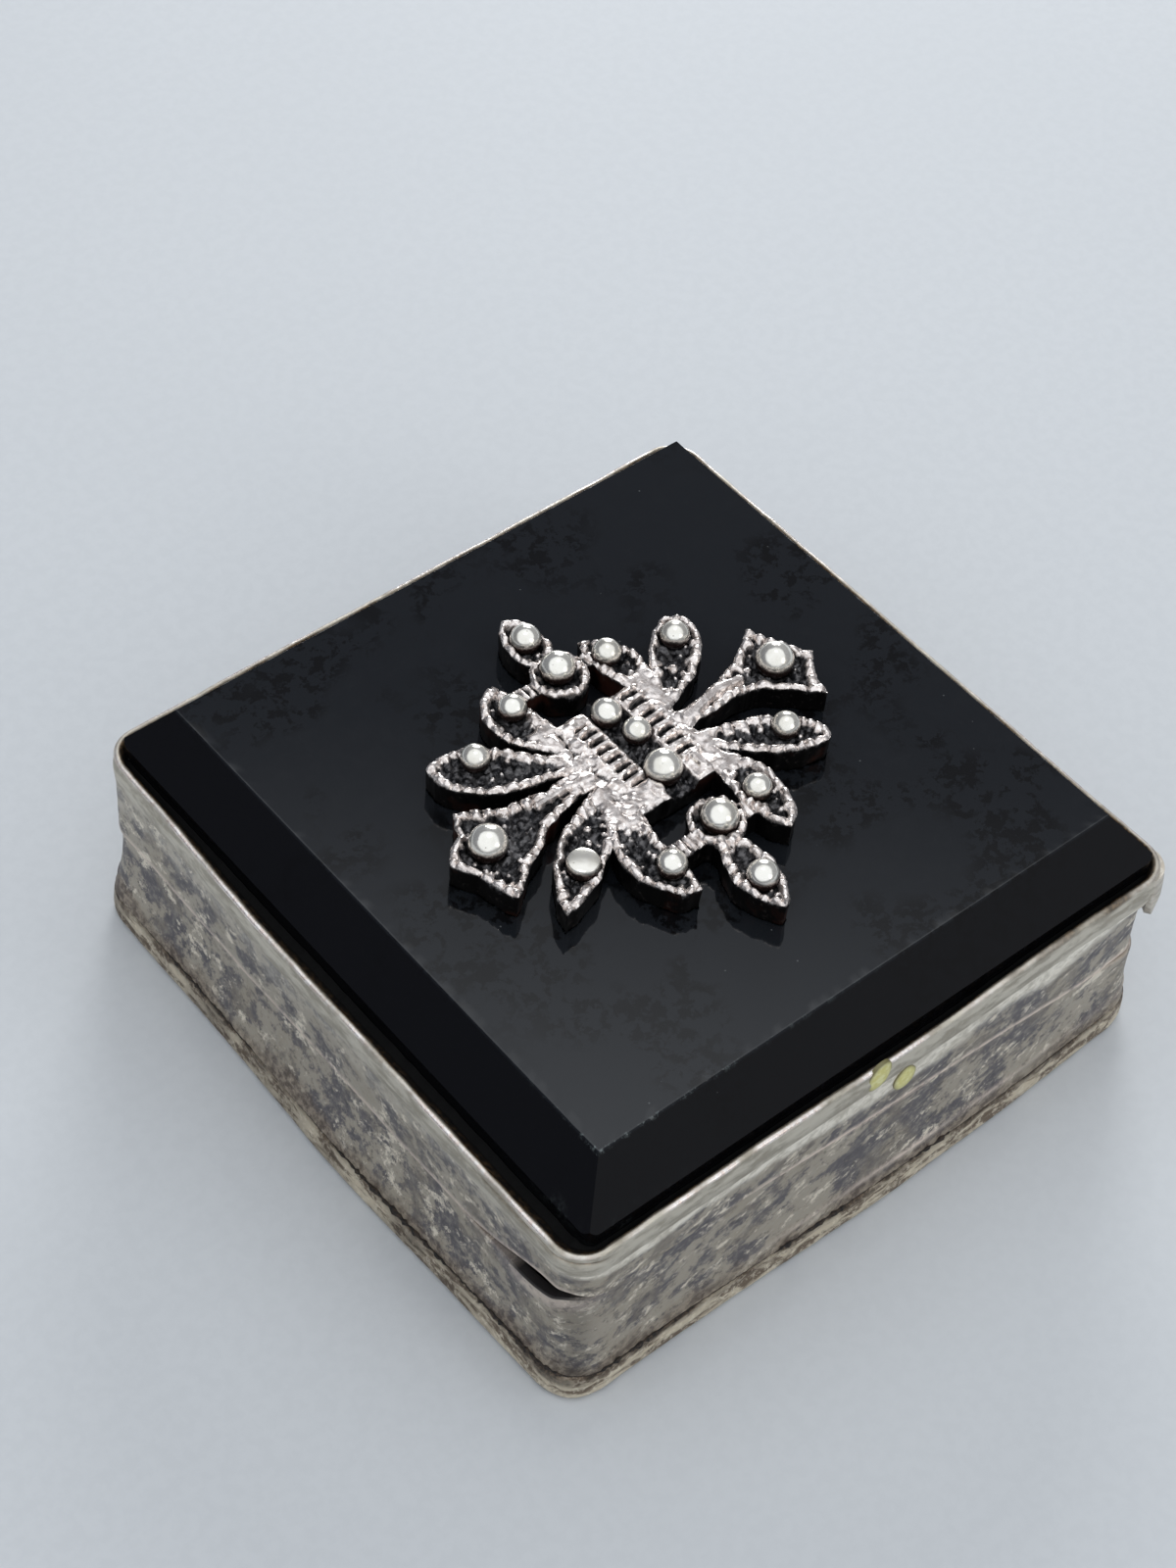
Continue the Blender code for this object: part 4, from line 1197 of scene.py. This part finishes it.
def relief_solid(x, y, field, top, bottom, side_rows, side_noise):
    """A closed solid with a relief top, upright sides and a flat underside."""
    polygons = contour_cells(field)
    index = {}
    points = []
    for polygon in polygons:
        for key in polygon:
            if key in index:
                continue
            index[key] = len(points)
            if isinstance(key[0], tuple):
                a, b = key
                t = min(max(field[a] / (field[a] - field[b]), 0.06), 0.94)
                points.append([v[a] + (v[b] - v[a]) * t for v in (x, y, top)])
            else:
                points.append([v[key] for v in (x, y, top)])
    faces = [tuple(index[key] for key in polygon) for polygon in polygons]
    top_count = len(points)
    steps = set()
    for face in faces:
        steps.update(zip(face, face[1:] + face[:1]))
    border = [(a, b) for a, b in steps if (b, a) not in steps]
    border.sort()
    after = dict(border)
    before = {b: a for a, b in border}
    points = np.array(points)
    rows = {a: [a] for a in after}
    extra = []
    for level in range(1, side_rows + 1):
        share = level / side_rows
        for a in sorted(after):
            here = points[a]
            along = points[after[a]] - points[before.get(a, a)]
            outward = np.array([along[1], -along[0]])
            outward = outward / max(np.hypot(*outward), 1e-9)
            reach = side_noise(here[0], here[1], share)
            z = here[2] + (bottom - here[2]) * share
            rows[a].append(top_count + len(extra))
            extra.append([here[0] + outward[0] * reach, here[1] + outward[1] * reach, z])
    for level in range(side_rows):
        for a, b in border:
            faces.append((rows[a][level], rows[a][level + 1], rows[b][level + 1], rows[b][level]))
    floor_index = {a: rows[a][-1] for a in after}
    below = []
    for k in range(top_count):
        if k not in floor_index:
            floor_index[k] = top_count + len(extra) + len(below)
            below.append([points[k][0], points[k][1], bottom])
    faces += [tuple(floor_index[k] for k in face)[::-1] for face in faces[:len(polygons)]]
    everything = [points, np.array(extra)] + ([np.array(below)] if below else [])
    return np.concatenate(everything), faces, top_count


def make_spray(material):
    """The casting, with its height above the cell floors kept for the material."""
    x, y, depth, top = spray_fields()

    def side_noise(px, py, share):
        ridges = 0.035 * float(cloud(px / 0.35, py / 0.35, share * 1.5, 91))
        return ridges * min(1.0, 3 * share) - 0.05 * share

    points, faces, top_count = relief_solid(x, y, depth, SPRAY_TOP + top, SPRAY_LOW, 7, side_noise)
    count = len(points)
    rubbed = np.zeros(count)
    rubbed[:top_count] = step(points[:top_count, 2] - SPRAY_TOP, -0.30, 0.10)
    side = np.ones(count)
    side[:top_count] = 0.0
    points = points + np.array([*SPRAY_CENTRE, 0.0])
    return shown("cast_spray", points, faces, material, "lid", sharp=50,
                 values={"rubbed": rubbed, "side": side})


def make_beads(material):
    """Silver grains, a little uneven. One has been rubbed flat on top."""
    for number, (name, x, y, radius) in enumerate(BEADS):
        shape = bmesh.new()
        bmesh.ops.create_icosphere(shape, subdivisions=5, radius=1.0)
        way = np.array([v.co for v in shape.verts])
        size = radius * (1 + 0.022 * cloud(way[:, 0] * 1.3 + number, way[:, 1] * 1.3, way[:, 2] * 1.3, 101)
                         + 0.006 * cloud(way[:, 0] * 5, way[:, 1] * 5 + number, way[:, 2] * 5, 102))
        points = way * size[:, None]
        z = points[:, 2] * 0.97
        if name == FLAT_BEAD:
            flat = 0.42 * radius
            z = np.where(z > flat, flat + 0.16 * (z - flat), z)
        bottom = -0.80 * radius
        points[:, 2] = np.where(z < bottom, bottom + 0.2 * (z - bottom), z)
        points += np.array([SPRAY_CENTRE[0] + x, SPRAY_CENTRE[1] + y, SPRAY_TOP + BEAD_LIFT])
        faces = [tuple(v.index for v in face.verts) for face in shape.faces]
        shape.free()
        shown("bead_" + name, points, faces, material, "lid", sharp=80)


# --- Residue --------------------------------------------------------------------------------------
# Spots: name, place along the front, height, half width and half height.
RESIDUE = (("residue_upper", -0.85, RIM - 0.66, 0.60, 0.80), ("residue_lower", 0.75, RIM - 2.10, 0.56, 0.70))


def make_residue(material):
    """Two small dried spots on the front face, at the rim and just below it."""
    rings = 8
    around = 28
    for name, centre_x, centre_z, half_x, half_z in RESIDUE:
        points = []
        edge = []
        for ring in range(rings + 1):
            share = ring / rings
            for i in range(around):
                angle = 2 * pi * i / around
                uneven = float(cloud(cos(angle) * 1.3, sin(angle) * 1.3, centre_x * 3, 111))
                reach = share * (1 + 0.16 * uneven)
                rise = 0.075 * (1 - share ** 3)
                points.append((centre_x + half_x * reach * cos(angle), -BODY_HALF - 0.055 - rise,
                               centre_z + half_z * reach * sin(angle)))
                edge.append(share ** 8)
        points += [(p[0], -BODY_HALF + 0.10, p[2]) for p in points[-around:]]
        edge += [1.0] * around
        faces = loop_faces(rings + 2, around, closed=False)
        faces.append(tuple(range((rings + 1) * around, (rings + 2) * around)))
        piece = new_piece(name, points, faces, material, "lid", sharp=60,
                          values={"edge": edge})
        shape = bmesh.new()
        shape.from_mesh(piece.data)
        bmesh.ops.remove_doubles(shape, verts=shape.verts, dist=1e-7)
        shape.to_mesh(piece.data)
        shape.free()


# --- Hinge and inside -----------------------------------------------------------------------------
def make_bearer(material):
    """The inner strip on three sides, its top edge rounded and its outer face painted near black as shade
    behind the seam gap.
    """
    outer = high("bearer").x - BODY_HALF
    inner = outer - 0.40
    bottom = low("bearer").z
    top = high("bearer").z
    back = high("bearer").y
    profile = rounded_run((outer, bottom), (outer, top - 0.15), 8)
    profile += quarter_round(((outer + inner) / 2, top - 0.20), 0.20, 0.0, pi, 8)
    profile += rounded_run((inner, top - 0.25), (inner, bottom), 8) + [(inner, bottom)]
    stations = [k for k in range(len(STATIONS)) if STATIONS[k][1] <= back]
    first = next(i for i in range(1, len(stations)) if stations[i] != stations[i - 1] + 1)
    order = stations[first:] + stations[:first]

    def bend(x, y, way_x, way_y, out, z):
        wave = 0.05 * mottling(x, y, 3, 151) * step(z, top - 0.5, top)
        return 0.4 * dents(x, y, z, 0.04, 152), wave

    rings = swept(profile, bend).reshape(len(STATIONS), len(profile), 3)[order]
    faces = loop_faces(len(order), len(profile), closed=False)
    faces.append(tuple(range(len(profile))))
    faces.append(tuple(range((len(order) - 1) * len(profile), len(order) * len(profile)))[::-1])
    # Painted shade: the outer face is marked for near black, for the dark slot between the bearer and the
    # walls behind the seam.
    outside = step([p[0] for p in profile] * len(order), outer - 0.10, outer - 0.02)
    return shown("bearer", rings.reshape(-1, 3), faces, material, "base",
                 values={"gap_shade": outside})


def carry_over(node, material):
    """Keeps a CAD node whose shape is right, and gives it its material."""
    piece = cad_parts[node]
    piece.data.materials.clear()
    piece.data.materials.append(material)


# --- Stage ----------------------------------------------------------------------------------------
def make_floor(material):
    """A flat floor, far wider than the view."""
    half = 1500.0
    shape = bmesh.new()
    bmesh.ops.create_grid(shape, x_segments=8, y_segments=8, size=half * MM)
    mesh = bpy.data.meshes.new("floor")
    shape.to_mesh(mesh)
    shape.free()
    mesh.materials.append(material)
    floor = bpy.data.objects.new("floor", mesh)
    bpy.context.scene.collection.objects.link(floor)


CAMERA_AZIMUTH = radians(226.069)
CAMERA_ELEVATION = radians(49.461)
CAMERA_ROLL = radians(5.607)
CAMERA_DISTANCE = 130.376
CAMERA_AIM = (-0.868, 2.047)
CAMERA_LENS = 73.20
DOME_ELEVATION = radians(69)
DOME_EDGE = (0.445, 0.61)
SIDE_WAY = (0.707, -0.707, 0.0)


def make_camera():
    """The view from above the near corner, rolled a little."""
    back = Vector((cos(CAMERA_ELEVATION) * cos(CAMERA_AZIMUTH), cos(CAMERA_ELEVATION) * sin(CAMERA_AZIMUTH),
                   sin(CAMERA_ELEVATION)))
    right = (-back).cross(Vector((0, 0, 1))).normalized()
    up = right.cross(-back)
    rolled_right = right * cos(CAMERA_ROLL) + up * sin(CAMERA_ROLL)
    rolled_up = up * cos(CAMERA_ROLL) - right * sin(CAMERA_ROLL)
    data = bpy.data.cameras.new("camera")
    data.lens = CAMERA_LENS
    data.sensor_width = 36.0
    data.clip_start = 0.005
    data.clip_end = 10.0
    camera = bpy.data.objects.new("camera", data)
    turn = Matrix((rolled_right, rolled_up, back)).transposed()
    aim = Vector((*CAMERA_AIM, RIM))
    camera.matrix_world = Matrix.Translation((aim + back * CAMERA_DISTANCE) * MM) @ turn.to_4x4()
    bpy.context.scene.collection.objects.link(camera)
    bpy.context.scene.camera = camera


def make_sky():
    """Soft studio light: a broad bright dome that leans over the near corner, dim all round it."""
    world = bpy.data.worlds.new("studio")
    world.use_nodes = True
    background = world.node_tree.nodes["Background"]
    way = put(world.node_tree, "ShaderNodeTexCoord").outputs["Generated"]
    dome_way = (cos(DOME_ELEVATION) * cos(CAMERA_AZIMUTH), cos(DOME_ELEVATION) * sin(CAMERA_AZIMUTH),
                sin(DOME_ELEVATION))
    nearness, sideways = (
        put(way, "ShaderNodeVectorMath", {0: way, 1: towards}, operation="DOT_PRODUCT").outputs["Value"]
        for towards in (dome_way, SIDE_WAY))
    dim = fade(sideways, -0.8, 0.8, rgb(0.085, 0.090, 0.110), rgb(0.200, 0.205, 0.220))
    colour = fade(nearness, *DOME_EDGE, dim, rgb(1.02, 1.06, 1.11))
    set_inputs(background, {"Color": colour, "Strength": 1.0})
    bpy.context.scene.world = world


def make_lamp(name, place, aim, size, power, colour):
    """A round lamp of a size in millimetres, turned to what it lights."""
    data = bpy.data.lights.new(name, "AREA")
    data.shape = "DISK"
    data.size = size * MM
    data.energy = power
    data.color = colour
    lamp = bpy.data.objects.new(name, data)
    lamp.location = Vector(place) * MM
    lamp.rotation_mode = "QUATERNION"
    lamp.rotation_quaternion = (Vector(aim) - Vector(place)).to_track_quat("-Z", "Y")
    bpy.context.scene.collection.objects.link(lamp)


def make_lights():
    make_sky()
    make_lamp("overhead", (55, 62, 545), (0, 0, 0), 80, 0.135, (1.0, 0.985, 0.96))
    make_lamp("far_side", (330, 340, 165), (20, 20, 0), 220, 1.15, (0.97, 0.985, 1.0))
    make_lamp("front_side", (110, -330, 190), (0, 0, 5), 180, 0.11, (1.0, 0.97, 0.93))


# --- Assembly -------------------------------------------------------------------------------------
def build():
    make_camera()
    make_lights()
    make_floor(floor_look())

    make_foot_rim(foot_look())
    make_joint_dirt(dirt_look())
    make_base_wall(wall_look("base_silver", FOOT_TOP + 1.1, FOOT_TOP + 0.2))
    make_lid_wall(wall_look("lid_silver", -3.0, -4.0))
    bezel_silver = rim_look()
    make_bezel(bezel_silver)
    make_lapped_end(bezel_silver)
    make_cement(cement_look())
    make_stone(stone_look())

    make_spray(cast_look())
    make_beads(bead_look())
    make_residue(residue_look())

    inside = inside_look("inside_silver", rgb(0.70, 0.68, 0.62), rgb(0.46, 0.43, 0.36))
    hinge = inside_look("hinge_silver", rgb(0.55, 0.53, 0.49), rgb(0.30, 0.28, 0.25))
    make_bearer(inside)
    for node in ("base_plate", "lid_plate"):
        carry_over(node, inside)
    for node in ("base_knuckle_1", "base_knuckle_2", "base_knuckle_3", "lid_knuckle_1", "lid_knuckle_2",
                 "hinge_pin"):
        carry_over(node, hinge)


build()
bpy.context.scene.view_settings.view_transform = "Standard"
bpy.context.view_layer.update()
